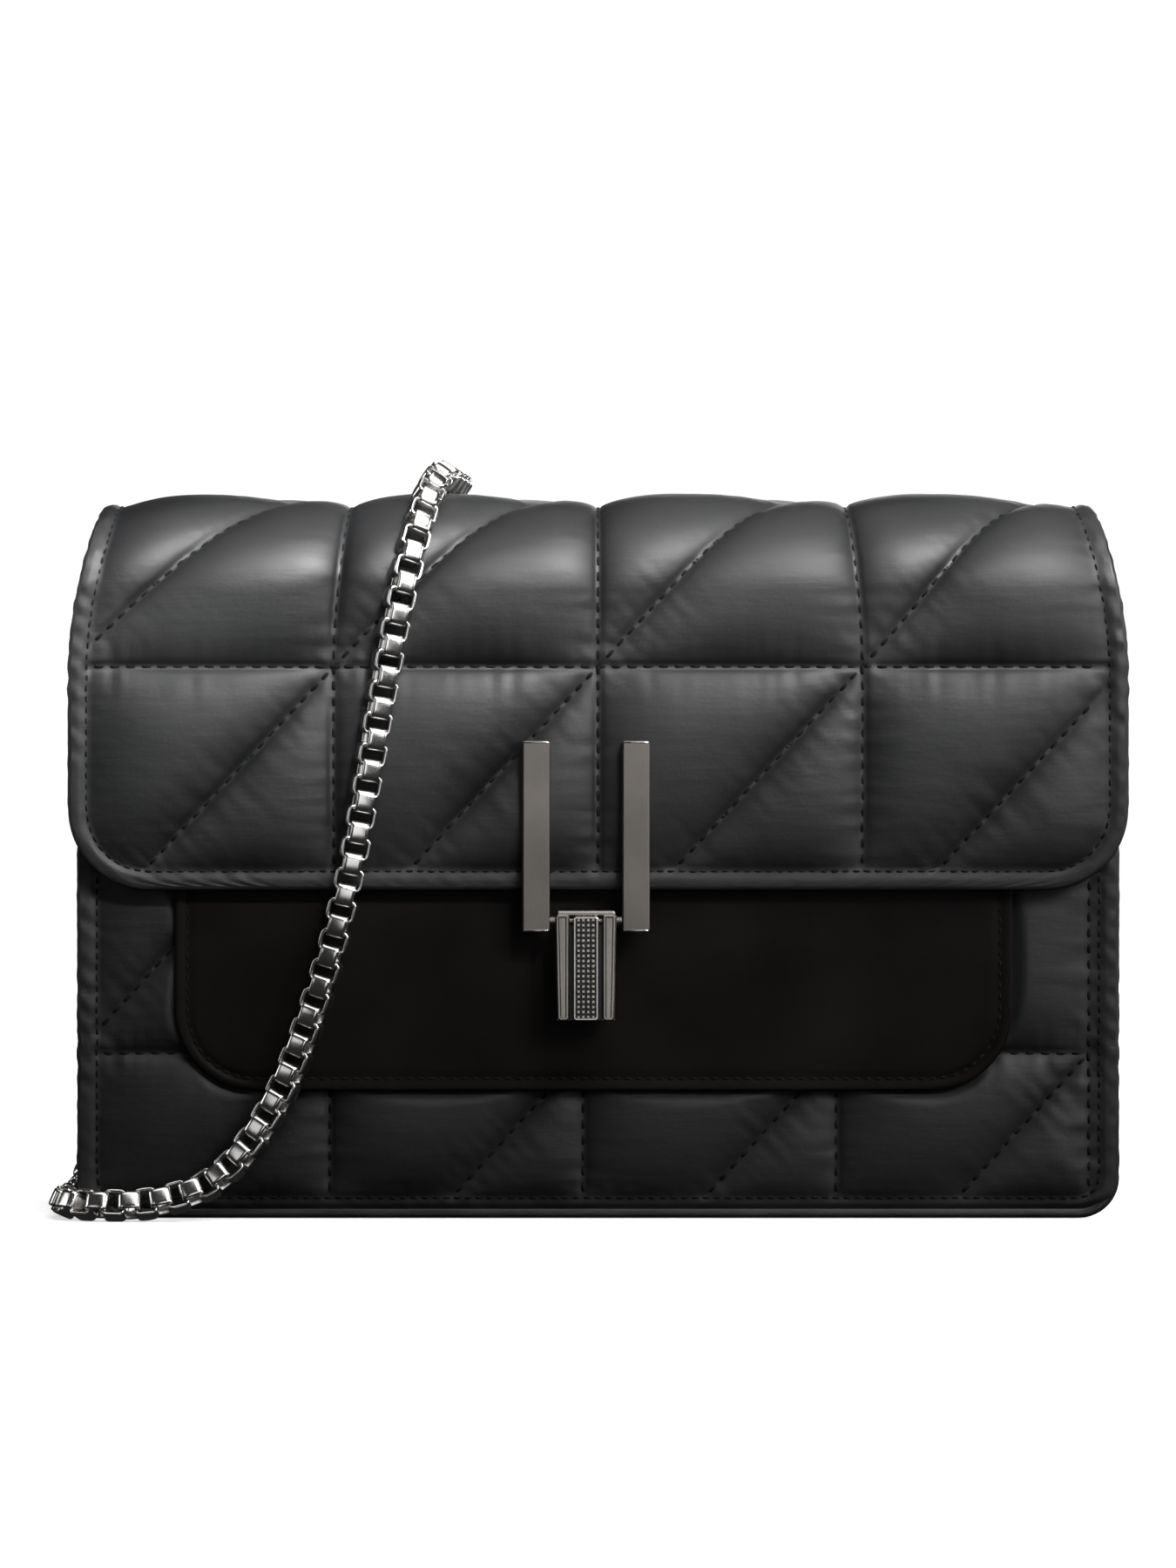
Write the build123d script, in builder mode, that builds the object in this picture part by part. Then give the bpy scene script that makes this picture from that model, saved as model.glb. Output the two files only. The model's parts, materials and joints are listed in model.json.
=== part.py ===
"""A small quilted crossbody bag: padded flap, lift latch, and a removable box-chain strap on two snap hooks.

Frame: millimetres, +X to the bag's right seen from the front, the front looks along -Y, +Z up.
The origin is on the base, midway across the width and the depth of the body.
Thickness runs along Y on the front, the back and the flap's front; SIDES holds -1 (left) and +1 (right).
"""

import math
import os

from build123d import *

# ---- Driving dimensions -------------------------------------------------------------------
BODY_WIDTH = 207.0
BODY_DEPTH = 60.0
BODY_HEIGHT = 130.0
FLAP_TOP = 142.0
FLAP_WIDTH = 209.4
FLAP_BOTTOM = 65.0
LOCK_X = -2.4
CHAIN_DIAMETER = 5.8

SIDES = {"left": -1, "right": 1}
SKIN = 3.5
BOARD = 1.2
BINDING_WIDTH = 5.0
BINDING_PROUD = 0.4
CORNER = 8.0
GUSSET_INSET = 7.0
BACK_TUCK = 6.3
GUSSET = 1.6
LINING = 0.8

half_width = BODY_WIDTH / 2
half_depth = BODY_DEPTH / 2
inner_half_width = half_width - BINDING_WIDTH
back_half_width = half_width - BACK_TUCK
back_inner_half = back_half_width - BINDING_WIDTH
gusset_x = half_width - GUSSET_INSET
gusset_y = half_depth - 5.0
board_y = half_depth - SKIN
lining_x = gusset_x - GUSSET - 1.0
lining_y = board_y - BOARD - 1.1
FLOOR_LINING = 3.2

# ---- Flap section in the YZ plane ---------------------------------------------------------
FLAP = 4.8
FLAP_SKIN = 3.0
FLAP_BOARD = 0.8
FLAP_LINING = 1.0
FLAP_ARC = 18.0
FLAP_RIM = 3.3
FLAP_CORNER = 16.0
flap_front_y = -37.4
flap_half = FLAP_WIDTH / 2
arc_y = flap_front_y + FLAP_ARC
arc_z = FLAP_TOP - FLAP_ARC

ROLL = FLAP / 2
ROLL_GAP = 0.35
back_axis = (27.6, FLAP_TOP - ROLL)
front_axis = (
    arc_y - (FLAP_ARC - ROLL) * math.sin(math.radians(45)),
    arc_z + (FLAP_ARC - ROLL) * math.cos(math.radians(45)),
)

# ---- Lock ---------------------------------------------------------------------------------
LOCK_PANEL = 2.2
BAR_WIDTH = 5.5
BAR_DEPTH = 3.8
BAR_BOTTOM = 56.9
BAR_TOP = 94.3
BAR_SPREAD = 9.8
LEVER_WIDTH = 12.2
LEVER_BOTTOM = 39.4
LEVER_TOP = 61.2
LEVER_DEPTH = 3.6
INSERT_WIDTH = 5.0
PIN_RADIUS = 1.0
lock_panel_y = -half_depth - LOCK_PANEL
pin_y = flap_front_y - 2.2
pin_z = 59.0
lever_front = pin_y - 1.6
lever_back = lever_front + LEVER_DEPTH
LOCK_GAP = 0.4
base_front = lever_back + LOCK_GAP
MAGNET_RADIUS = 3.0
MAGNET_DEPTH = 1.4
magnet_z = 49.0

# ---- Strap hardware -----------------------------------------------------------------------
ring_x = gusset_x + 2.9
ring_z = 114.5
RING_WIRE = 1.1
RING_HALF = 6.5
hook_x = ring_x + 0.15
eye_z = 79.6


def write(part, name):
    """Labels a finished sub-part and writes its STEP file."""
    part.label = name
    export_step(part, f"parts/{name}.step")


def panel_outline(half, low, high, corner):
    """Closed outline in XZ: straight sides and top, with round bottom corners."""
    FilletPolyline(
        (-half, high), (-half, low), (half, low), (half, high), radius=corner
    )
    Line((half, high), (-half, high))


def xz_plane(y):
    """A sketch plane whose x is +X and whose y is +Z; extruding it goes towards -Y."""
    return Plane(origin=(0, y, 0), x_dir=(1, 0, 0), z_dir=(0, -1, 0))


def yz_plane(x):
    """A sketch plane whose x is +Y and whose y is +Z; extruding it goes towards +X."""
    return Plane(origin=(x, 0, 0), x_dir=(0, 1, 0), z_dir=(1, 0, 0))


def round_bar(start, direction, radius, length):
    """A cylinder from start along direction, made apart from any builder."""
    return Solid.make_cylinder(radius, length, Plane(origin=start, z_dir=direction))


def plain_panel(y, thickness, half, low, high, corner):
    """A flat panel whose back is at y and whose front is thickness nearer -Y."""
    with BuildPart() as panel:
        with BuildSketch(xz_plane(y)):
            with BuildLine():
                panel_outline(half, low, high, corner)
            make_face()
        extrude(amount=thickness)
    return panel


# ---- Body: panels, boards, bindings, gusset, lining ---------------------------------------
screw_spots = [(LOCK_X, magnet_z - 5.5), (LOCK_X, magnet_z + 5.5)]
SCREW_RADIUS = 0.9
SCREW_CLEARANCE = 0.1


def bores(plane, spots, radius, depth):
    """Round bores of one radius at the given spots of a plane, depth along its normal."""
    with BuildPart() as cutters:
        with BuildSketch(plane):
            with Locations(*spots):
                Circle(radius)
        extrude(amount=depth)
    return cutters.part


def lock_screw_bores(y, depth):
    """Clearance bores for the lock base's two screws, from y towards -Y."""
    return bores(xz_plane(y), screw_spots, SCREW_RADIUS + SCREW_CLEARANCE, depth)


def body_panels():
    low = BINDING_WIDTH
    inner_corner = CORNER - BINDING_WIDTH
    with BuildPart() as front_panel:
        with BuildSketch(xz_plane(-half_depth + SKIN)):
            with BuildLine():
                panel_outline(inner_half_width, low, BODY_HEIGHT, inner_corner)
            make_face()
        extrude(amount=SKIN)
        add(lock_screw_bores(-half_depth + SKIN, SKIN), mode=Mode.SUBTRACT)
    write(front_panel.part, "front_panel")

    with BuildPart() as front_board:
        with BuildSketch(xz_plane(-board_y + BOARD)):
            with BuildLine():
                panel_outline(inner_half_width - 1.5, low + 1, BODY_HEIGHT - 2, inner_corner)
            make_face()
        extrude(amount=BOARD)
        add(lock_screw_bores(-board_y + BOARD, BOARD), mode=Mode.SUBTRACT)
    write(front_board.part, "front_board")

    back_panel = plain_panel(half_depth, SKIN, back_inner_half, low, BODY_HEIGHT, inner_corner)
    write(back_panel.part, "back_panel")
    back_board = plain_panel(
        board_y, BOARD, back_inner_half - 1.5, low + 1, BODY_HEIGHT - 2, inner_corner
    )
    write(back_board.part, "back_board")


def bindings():
    """The turned border that runs down both sides and along the bottom of each panel."""
    depth = half_depth + BINDING_PROUD - gusset_y
    for name, y, half in (
        ("front_binding", -gusset_y, half_width),
        ("back_binding", gusset_y + depth, back_half_width),
    ):
        with BuildPart() as binding:
            with BuildSketch(xz_plane(y)):
                with BuildLine():
                    panel_outline(half, 0, BODY_HEIGHT, CORNER)
                make_face()
                with BuildLine():
                    panel_outline(
                        half - BINDING_WIDTH, BINDING_WIDTH, BODY_HEIGHT, CORNER - BINDING_WIDTH
                    )
                make_face(mode=Mode.SUBTRACT)
            extrude(amount=depth)
            outer = binding.faces().sort_by(Axis.Y)[-1 if y > 0 else 0]
            chamfer(outer.outer_wire().edges(), length=0.6)
        write(binding.part, name)


GUSSET_TOP = 128.0
rivet_z = 123.0
RIVET_RADIUS = 1.0


def gusset_and_lining():
    with BuildPart() as gusset_strip:
        with BuildSketch(xz_plane(gusset_y)):
            with BuildLine():
                panel_outline(gusset_x, 0, GUSSET_TOP, CORNER)
            make_face()
            with BuildLine():
                panel_outline(gusset_x - GUSSET, GUSSET, GUSSET_TOP, CORNER - GUSSET)
            make_face(mode=Mode.SUBTRACT)
        extrude(amount=2 * gusset_y)
        tab_bores = bores(yz_plane(-half_width), [(0, rivet_z)], RIVET_RADIUS + 0.05, BODY_WIDTH)
        add(tab_bores, mode=Mode.SUBTRACT)
    write(gusset_strip.part, "gusset_strip")

    with BuildPart() as base_board:
        with BuildSketch(Plane.XY.offset(GUSSET)):
            Rectangle(2 * (gusset_x - CORNER), 2 * lining_y)
        extrude(amount=BOARD)
        fillet(base_board.edges().filter_by(Axis.Z), radius=3)
    write(base_board.part, "base_board")

    with BuildPart() as lining:
        with BuildSketch(xz_plane(lining_y)):
            with BuildLine():
                panel_outline(lining_x, FLOOR_LINING, GUSSET_TOP - 1, CORNER - GUSSET - 1)
            make_face()
        extrude(amount=2 * lining_y)
        with BuildSketch(xz_plane(lining_y - LINING)):
            with BuildLine():
                panel_outline(
                    lining_x - LINING, FLOOR_LINING + LINING, GUSSET_TOP - 1, CORNER - GUSSET - 2
                )
            make_face()
        extrude(amount=2 * (lining_y - LINING), mode=Mode.SUBTRACT)
    write(lining.part, "lining")

    pocket_half, pocket_low, pocket_high = 58.0, 42.0, 100.0
    gap = 1.2
    wall = lining_y - LINING
    with BuildPart() as slip_pocket:
        with BuildSketch(xz_plane(wall)):
            with BuildLine():
                panel_outline(pocket_half, pocket_low, pocket_high, 10)
            make_face()
        extrude(amount=gap + 0.8)
        with BuildSketch(xz_plane(wall)):
            with BuildLine():
                panel_outline(pocket_half - 3, pocket_low + 3, pocket_high, 8)
            make_face()
        extrude(amount=gap, mode=Mode.SUBTRACT)
    write(slip_pocket.part, "slip_pocket")


def back_roll():
    """The rolled fold that joins the back panel to the flap; the flap turns about it."""
    y, z = back_axis
    with BuildPart() as fold_roll:
        with BuildSketch(yz_plane(-flap_half + 4)):
            with Locations((y, z)):
                Circle(ROLL)
            with Locations(((y + half_depth - SKIN / 2) / 2 - 0.3, (z + BODY_HEIGHT) / 2)):
                Rectangle(1.6, z - BODY_HEIGHT)
        extrude(amount=2 * (flap_half - 4))
    write(fold_roll.part, "back_fold_roll")


# ---- Flap ---------------------------------------------------------------------------------
def flap_section(outer, inner, upper):
    """Draws the band between two depths below the flap's outer face.

    outer and inner are depths; upper picks the part above the front fold, else the part below it.
    """
    far, near = FLAP_ARC - outer, FLAP_ARC - inner
    turn = math.degrees((ROLL + ROLL_GAP) / (FLAP_ARC - ROLL))
    split = 45 + turn if upper else 45 - turn
    angle = math.radians(180 - split)

    def on_arc(radius):
        return (arc_y + radius * math.cos(angle), arc_z + radius * math.sin(angle))

    centre = (arc_y, arc_z)
    if upper:
        end_y = back_axis[0] - ROLL - ROLL_GAP
        first, last = 90, 180 - split
        CenterArc(centre, far, first, last - first)
        CenterArc(centre, near, first, last - first)
        Line((arc_y, arc_z + far), (end_y, arc_z + far))
        Line((end_y, arc_z + far), (end_y, arc_z + near))
        Line((end_y, arc_z + near), (arc_y, arc_z + near))
    else:
        first, last = 180 - split, 180
        CenterArc(centre, far, first, last - first)
        CenterArc(centre, near, first, last - first)
        Line((arc_y - far, arc_z), (arc_y - far, FLAP_BOTTOM))
        Line((arc_y - far, FLAP_BOTTOM), (arc_y - near, FLAP_BOTTOM))
        Line((arc_y - near, FLAP_BOTTOM), (arc_y - near, arc_z))
    Line(on_arc(far), on_arc(near))


TOP_HALF = flap_half - 3.0


def flap_trim(inset):
    """The flap seen from the front, to trim its layers: wider below, with round corners."""
    bottom = FLAP_BOTTOM + inset
    half = flap_half - inset
    top = FLAP_TOP + 1
    corner = FLAP_CORNER - inset
    with BuildPart() as trim:
        with BuildSketch(xz_plane(half_depth)):
            with BuildLine():
                FilletPolyline(
                    (-TOP_HALF + inset, top),
                    (-half, arc_z - 8),
                    (-half, bottom),
                    (half, bottom),
                    (half, arc_z - 8),
                    (TOP_HALF - inset, top),
                    radius=corner,
                )
                Line((TOP_HALF - inset, top), (-TOP_HALF + inset, top))
            make_face()
        extrude(amount=2 * BODY_DEPTH)
    return trim.part


bar_screw_spots = [
    (LOCK_X + side * BAR_SPREAD, z) for side in SIDES.values() for z in (BAR_TOP - 6, BAR_TOP - 20)
]


def flap_layer(name, outer, inner, upper, inset):
    """One layer of the flap between two depths, trimmed to the flap's outline less inset."""
    with BuildPart() as layer:
        with BuildSketch(yz_plane(-flap_half)):
            with BuildLine():
                flap_section(outer, inner, upper)
            make_face()
        extrude(amount=2 * flap_half)
        add(flap_trim(inset), mode=Mode.INTERSECT)
        if not upper:
            radius = SCREW_RADIUS + SCREW_CLEARANCE
            add(bores(xz_plane(-half_depth), bar_screw_spots, radius, 10), mode=Mode.SUBTRACT)
    write(layer.part, name)


def flap():
    board_depth = FLAP_SKIN + FLAP_BOARD
    flap_layer("flap_top_quilt", 0, FLAP_SKIN, True, 0)
    flap_layer("flap_top_lining", FLAP_SKIN, FLAP, True, 0.6)
    flap_layer("flap_front_quilt", 0, FLAP_SKIN, False, FLAP_RIM)
    flap_layer("flap_board", FLAP_SKIN, board_depth, False, FLAP_RIM + 1.2)
    flap_layer("flap_front_lining", board_depth, FLAP, False, FLAP_RIM + 0.4)
    with BuildPart() as rim:
        with BuildSketch(yz_plane(-flap_half)):
            with BuildLine():
                flap_section(0, FLAP, False)
            make_face()
        extrude(amount=2 * flap_half)
        add(flap_trim(0), mode=Mode.INTERSECT)
        add(flap_trim(FLAP_RIM), mode=Mode.SUBTRACT)
    write(rim.part, "flap_binding")

    with BuildPart() as fold_roll:
        with BuildSketch(yz_plane(-TOP_HALF + 2)):
            with Locations(front_axis):
                Circle(ROLL)
        extrude(amount=2 * (TOP_HALF - 2))
    write(fold_roll.part, "front_fold_roll")


# ---- Lock ---------------------------------------------------------------------------------
def lock_panel():
    left, right, low, high = -83.6, 81.8, 25.2, 92.0
    bottom_radius, top_radius = 16.0, 6.0
    with BuildPart() as panel:
        with BuildSketch(xz_plane(-half_depth)):
            with Locations(((left + right) / 2, (low + high) / 2)):
                Rectangle(right - left, high - low)
            fillet(vertices().group_by(Axis.Y)[-1], radius=top_radius)
            fillet(vertices().group_by(Axis.Y)[0], radius=bottom_radius)
        extrude(amount=LOCK_PANEL)
        add(lock_screw_bores(-half_depth, LOCK_PANEL), mode=Mode.SUBTRACT)
    write(panel.part, "lock_panel")


BASE_HALF = 4.3
base_low, base_high = magnet_z - 8, magnet_z + 8


def lock_base():
    """The fixed half of the latch: a block on the lock panel, its magnet and its two screws."""
    depth = lock_panel_y - base_front
    with BuildPart() as block:
        with BuildSketch(xz_plane(lock_panel_y)):
            with Locations((LOCK_X, magnet_z)):
                RectangleRounded(2 * BASE_HALF, base_high - base_low, 1.5)
        extrude(amount=depth)
        chamfer(block.faces().sort_by(Axis.Y)[0].edges(), length=0.4)
        with BuildSketch(xz_plane(base_front)):
            with Locations((LOCK_X, magnet_z)):
                Circle(MAGNET_RADIUS)
        extrude(amount=-MAGNET_DEPTH, mode=Mode.SUBTRACT)
        add(lock_screw_bores(lock_panel_y, 1.4), mode=Mode.SUBTRACT)
    write(block.part, "lock_base")

    magnet = round_bar(
        (LOCK_X, base_front + MAGNET_DEPTH, magnet_z), (0, -1, 0), MAGNET_RADIUS, MAGNET_DEPTH
    )
    write(Part([magnet]), "lock_base_magnet")

    back = -board_y + BOARD
    with BuildPart() as washer:
        with BuildSketch(xz_plane(back + 0.4)):
            with Locations((LOCK_X, magnet_z)):
                RectangleRounded(12, 22, 2)
        extrude(amount=0.4)
        add(lock_screw_bores(back + 0.4, 0.4), mode=Mode.SUBTRACT)
    write(washer.part, "lock_backing_plate")

    with BuildPart() as screws:
        with BuildSketch(xz_plane(back + 0.4)):
            with Locations(*screw_spots):
                Circle(SCREW_RADIUS)
        extrude(amount=back + 0.4 - lock_panel_y + 1.2)
        with BuildSketch(xz_plane(back + 0.9)):
            with Locations(*screw_spots):
                Circle(1.8)
        extrude(amount=0.5)
    write(screws.part, "lock_base_screws")


def lock_bars():
    """Two long bars on the flap, a plate behind each, four screws, and the lever's pin."""
    for word, side in SIDES.items():
        x = LOCK_X + side * BAR_SPREAD
        with BuildPart() as bar:
            with BuildSketch(xz_plane(flap_front_y)):
                with Locations((x, (BAR_BOTTOM + BAR_TOP) / 2)):
                    Rectangle(BAR_WIDTH, BAR_TOP - BAR_BOTTOM)
            extrude(amount=BAR_DEPTH)
            chamfer(bar.faces().sort_by(Axis.Y)[0].edges(), length=0.5)
            with BuildSketch(yz_plane(x - side * BAR_WIDTH / 2)):
                with Locations((pin_y, pin_z)):
                    Circle(PIN_RADIUS)
            extrude(amount=side * 2.0, mode=Mode.SUBTRACT)
            with BuildSketch(xz_plane(flap_front_y)):
                with Locations(*[s for s in bar_screw_spots if abs(s[0] - x) < 1]):
                    Circle(SCREW_RADIUS)
            extrude(amount=1.8, mode=Mode.SUBTRACT)
        write(bar.part, f"lock_bar_{word}")

    screw_back = flap_front_y + FLAP_SKIN + FLAP_BOARD
    with BuildPart() as screws:
        with BuildSketch(xz_plane(screw_back)):
            with Locations(*bar_screw_spots):
                Circle(SCREW_RADIUS)
        extrude(amount=screw_back - flap_front_y + 1.8)
    write(screws.part, "lock_bar_screws")

    half = BAR_SPREAD - BAR_WIDTH / 2 + 1.6
    pin = round_bar((LOCK_X - half, pin_y, pin_z), (1, 0, 0), PIN_RADIUS, 2 * half)
    write(Part([pin]), "latch_pin")


def latch():
    """The lever between the bars: a two-pronged frame with a knurled insert and a magnet."""
    knuckle = 2.0
    with BuildPart() as frame:
        with BuildSketch(xz_plane(lever_back)):
            with BuildLine():
                Polyline(
                    (LOCK_X - LEVER_WIDTH / 2, LEVER_TOP),
                    (LOCK_X + LEVER_WIDTH / 2, LEVER_TOP),
                    (LOCK_X + LEVER_WIDTH / 2 - 0.7, LEVER_BOTTOM),
                    (LOCK_X - LEVER_WIDTH / 2 + 0.7, LEVER_BOTTOM),
                    close=True,
                )
            make_face()
        extrude(amount=LEVER_DEPTH)
        for edge_face in (frame.faces().sort_by(Axis.Z)[-1],):
            fillet(edge_face.edges().filter_by(Axis.Y), radius=1.2)
        fillet(frame.faces().sort_by(Axis.Z)[-1].edges().sort_by(Axis.Y)[0], radius=1.2)
        with BuildSketch(xz_plane(lever_front)):
            with Locations((LOCK_X, (LEVER_BOTTOM + LEVER_TOP) / 2 - 1.0)):
                Rectangle(INSERT_WIDTH + 1.5, LEVER_TOP - LEVER_BOTTOM)
        extrude(amount=-2.0, mode=Mode.SUBTRACT)
        with BuildSketch(yz_plane(LOCK_X - LEVER_WIDTH)):
            with Locations((pin_y, pin_z)):
                Circle(PIN_RADIUS + 0.05)
        extrude(amount=2 * LEVER_WIDTH, mode=Mode.SUBTRACT)
        with BuildSketch(xz_plane(lever_back)):
            with Locations((LOCK_X, magnet_z)):
                Circle(MAGNET_RADIUS)
        extrude(amount=MAGNET_DEPTH, mode=Mode.SUBTRACT)
    write(frame.part, "latch_frame")

    floor = lever_front + 2.0
    low, high = LEVER_BOTTOM, pin_z - knuckle + 0.4
    with BuildPart() as insert:
        with BuildSketch(xz_plane(floor)):
            with Locations((LOCK_X, (low + high) / 2)):
                RectangleRounded(INSERT_WIDTH, high - low, 0.6)
        extrude(amount=2.3)
        chamfer(insert.faces().sort_by(Axis.Y)[0].edges(), length=0.25)
        columns, rows = 4, 15
        with BuildSketch(xz_plane(floor - 2.3)):
            with Locations((LOCK_X, (low + high) / 2)):
                with GridLocations(1.0, 1.05, columns, rows):
                    Rectangle(0.7, 0.7)
        extrude(amount=-0.35, mode=Mode.SUBTRACT)
    write(insert.part, "latch_insert")

    magnet = round_bar((LOCK_X, lever_back, magnet_z), (0, -1, 0), MAGNET_RADIUS, MAGNET_DEPTH)
    write(Part([magnet]), "latch_magnet")


# ---- Strap hardware: tabs, rings, hooks, gates, swivels -----------------------------------
TAB_HALF = 5.0
TAB_THICK = 1.6
GATE_LOW, GATE_HIGH = 95.2, 104.0
gate_x = hook_x + 2.0


def at_side(side, x):
    """A plane in XZ at the given side, centred on y = 0, with its x pointing outwards."""
    return Plane(origin=(side * x, 0, 0), x_dir=(side, 0, 0), z_dir=(0, -side, 0))


def ring_tab(word, side):
    """A folded leather tab that holds the ring's straight bar, and its rivet."""
    with BuildPart() as tab:
        with BuildSketch(at_side(side, ring_x)):
            with Locations((0, ring_z)):
                Circle(RING_WIRE + 1.1)
            low, high = ring_z + 1.4, GUSSET_TOP
            with Locations((gusset_x - ring_x + TAB_THICK / 2, (low + high) / 2)):
                Rectangle(TAB_THICK, high - low)
            with Locations((0, ring_z)):
                Circle(RING_WIRE + 0.1, mode=Mode.SUBTRACT)
        extrude(amount=TAB_HALF, both=True)
        with BuildSketch(yz_plane(side * gusset_x)):
            with Locations((0, rivet_z)):
                Circle(RIVET_RADIUS + 0.05)
        extrude(amount=side * 6, mode=Mode.SUBTRACT)
    write(tab.part, f"ring_tab_{word}")


def tab_rivets():
    with BuildPart() as rivets:
        for side in SIDES.values():
            out = (side, 0, 0)
            inner = gusset_x - GUSSET - 0.9
            face = gusset_x + TAB_THICK
            add(round_bar((side * inner, 0, rivet_z), out, 2.0, 0.9))
            add(round_bar((side * inner, 0, rivet_z), out, RIVET_RADIUS, face + 0.3 - inner))
            add(round_bar((side * face, 0, rivet_z), out, 2.3, 0.7))
    write(rivets.part, "tab_rivets")


def d_ring(word, side):
    """A wire ring: a half-round bow below two short legs and a straight bar."""
    x = side * ring_x
    drop = ring_z - 2.0
    with BuildPart() as ring:
        with BuildSketch(Plane.XY.offset(drop)):
            with Locations((x, RING_HALF)):
                Circle(RING_WIRE)
        revolve(axis=Axis((x, 0, drop), (-1, 0, 0)), revolution_arc=180)
        for y in (-RING_HALF, RING_HALF):
            add(round_bar((x, y, drop), (0, 0, 1), RING_WIRE, ring_z - drop))
            with Locations((x, y, ring_z)):
                Sphere(RING_WIRE)
        add(round_bar((x, -RING_HALF, ring_z), (0, 1, 0), RING_WIRE, 2 * RING_HALF))
    write(ring.part, f"d_ring_{word}")


def hook(word, side):
    """The snap hook's body: a narrow claw, a solid shank with the swivel's bore, and a fork."""
    half = 2.5
    top, low = 109.6, 84.0
    with BuildPart() as body:
        with BuildSketch(at_side(side, hook_x)):
            with Locations((0, (top + low) / 2)):
                RectangleRounded(2 * half, top - low, 2.2)
            with Locations((-0.25 + 0.1, (94.2 + 108.4) / 2)):
                RectangleRounded(2.7, 108.4 - 94.2, 1.3, mode=Mode.SUBTRACT)
            with Locations((half - 0.1, (GATE_LOW + GATE_HIGH + 0.2) / 2)):
                Rectangle(2.6, GATE_HIGH + 0.2 - GATE_LOW, mode=Mode.SUBTRACT)
        extrude(amount=1.6, both=True)
        with BuildSketch(at_side(side, hook_x)):
            with Locations((gate_x - hook_x, GATE_LOW - 1.0)):
                Circle(1.75)
        extrude(amount=0.85, both=True, mode=Mode.SUBTRACT)
        for part_of_bore, radius, z0, z1 in (("post", 1.05, low, 87.5), ("head", 1.7, 87.4, 90)):
            add(
                round_bar((side * hook_x, 0, z0 - 0.1), (0, 0, 1), radius, z1 - z0 + 0.1),
                mode=Mode.SUBTRACT,
            )
        add(
            round_bar((side * gate_x, -2, GATE_LOW - 1.0), (0, 1, 0), 0.45, 4),
            mode=Mode.SUBTRACT,
        )
    write(body.part, f"hook_{word}")

    with BuildPart() as gate:
        with BuildSketch(at_side(side, gate_x)):
            with Locations((0, GATE_LOW - 1.0)):
                Circle(1.15)
            with Locations((-0.15, (GATE_LOW - 1.0 + GATE_HIGH) / 2)):
                Rectangle(1.0, GATE_HIGH - GATE_LOW + 1.0)
            with Locations((0, GATE_LOW - 1.0)):
                Circle(0.5, mode=Mode.SUBTRACT)
        extrude(amount=0.75, both=True)
        thumb = (side * (gate_x + 0.3), 0, 101.6)
        add(round_bar(thumb, (side, 0, 0), 0.8, 0.7))
    write(gate.part, f"hook_gate_{word}")

    pin = round_bar((side * gate_x, -1.6, GATE_LOW - 1.0), (0, 1, 0), 0.45, 3.2)
    write(Part([pin]), f"hook_gate_pin_{word}")


def swivel(word, side):
    """The eye below the hook, on a headed post, and the jump ring that carries the chain."""
    major, wire = 3.0, 0.9
    centre = (side * hook_x, 0, eye_z)
    with BuildPart() as eye:
        add(
            Solid.make_torus(major, wire, Plane(origin=centre, z_dir=(1, 0, 0)))
        )
        add(round_bar((side * hook_x, 0, eye_z + major), (0, 0, 1), 1.0, 89.4 - eye_z - major))
        add(round_bar((side * hook_x, 0, 87.8), (0, 0, 1), 1.6, 1.8))
    write(eye.part, f"swivel_eye_{word}")

    ring_centre = (side * hook_x, 0, eye_z - major + 0.9 + 0.6 + 0.2 - 2.2)
    jump = Solid.make_torus(2.2, 0.6, Plane(origin=ring_centre, z_dir=(0, 1, 0)))
    write(Part([jump]), f"jump_ring_{word}")


# ---- Chain: its route in three stretches --------------------------------------------------
# The loop goes up the back, over the flap, down the front and round the left front corner.
LOOP_ROUTE = [
    (-105.3, 62.0, 3.2),
    (-104.9, 50.0, 3.2),
    (-98.0, 40.0, 3.2),
    (-86.8, 35.8, 4.4),
    (-74.5, 35.8, 12.5),
    (-62.5, 35.8, 30.0),
    (-54.5, 35.8, 51.0),
    (-48.5, 35.8, 75.0),
    (-43.5, 36.2, 99.0),
    (-38.8, 37.2, 118.5),
    (-34.6, 37.6, 133.4),
    (-31.4, 32.2, 144.4),
    (-29.0, 21.0, 148.8),
    (-28.4, 6.0, 146.8),
    (-29.4, -9.5, 146.8),
    (-31.6, -23.0, 147.8),
    (-34.4, -36.5, 140.8),
    (-38.0, -42.2, 126.5),
    (-42.0, -42.4, 106.5),
    (-45.6, -42.2, 84.5),
    (-49.6, -41.8, 62.5),
    (-55.4, -39.6, 42.0),
    (-63.0, -37.6, 22.5),
    (-74.0, -36.9, 7.4),
    (-88.0, -37.8, 2.9),
    (-101.0, -36.6, 3.1),
    (-106.6, -28.6, 3.2),
    (-105.6, -20.0, 3.2),
]
LEFT_ROUTE = [
    (-105.6, -19.7, 3.2),
    (-104.4, -8.0, 3.2),
    (-102.4, 2.6, 8.6),
    (-100.3, 8.6, 18.8),
    (-99.6, 8.4, 35.6),
    (-99.7, 4.0, 54.8),
    (-99.6, 0.0, 73.0),
]
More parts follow.
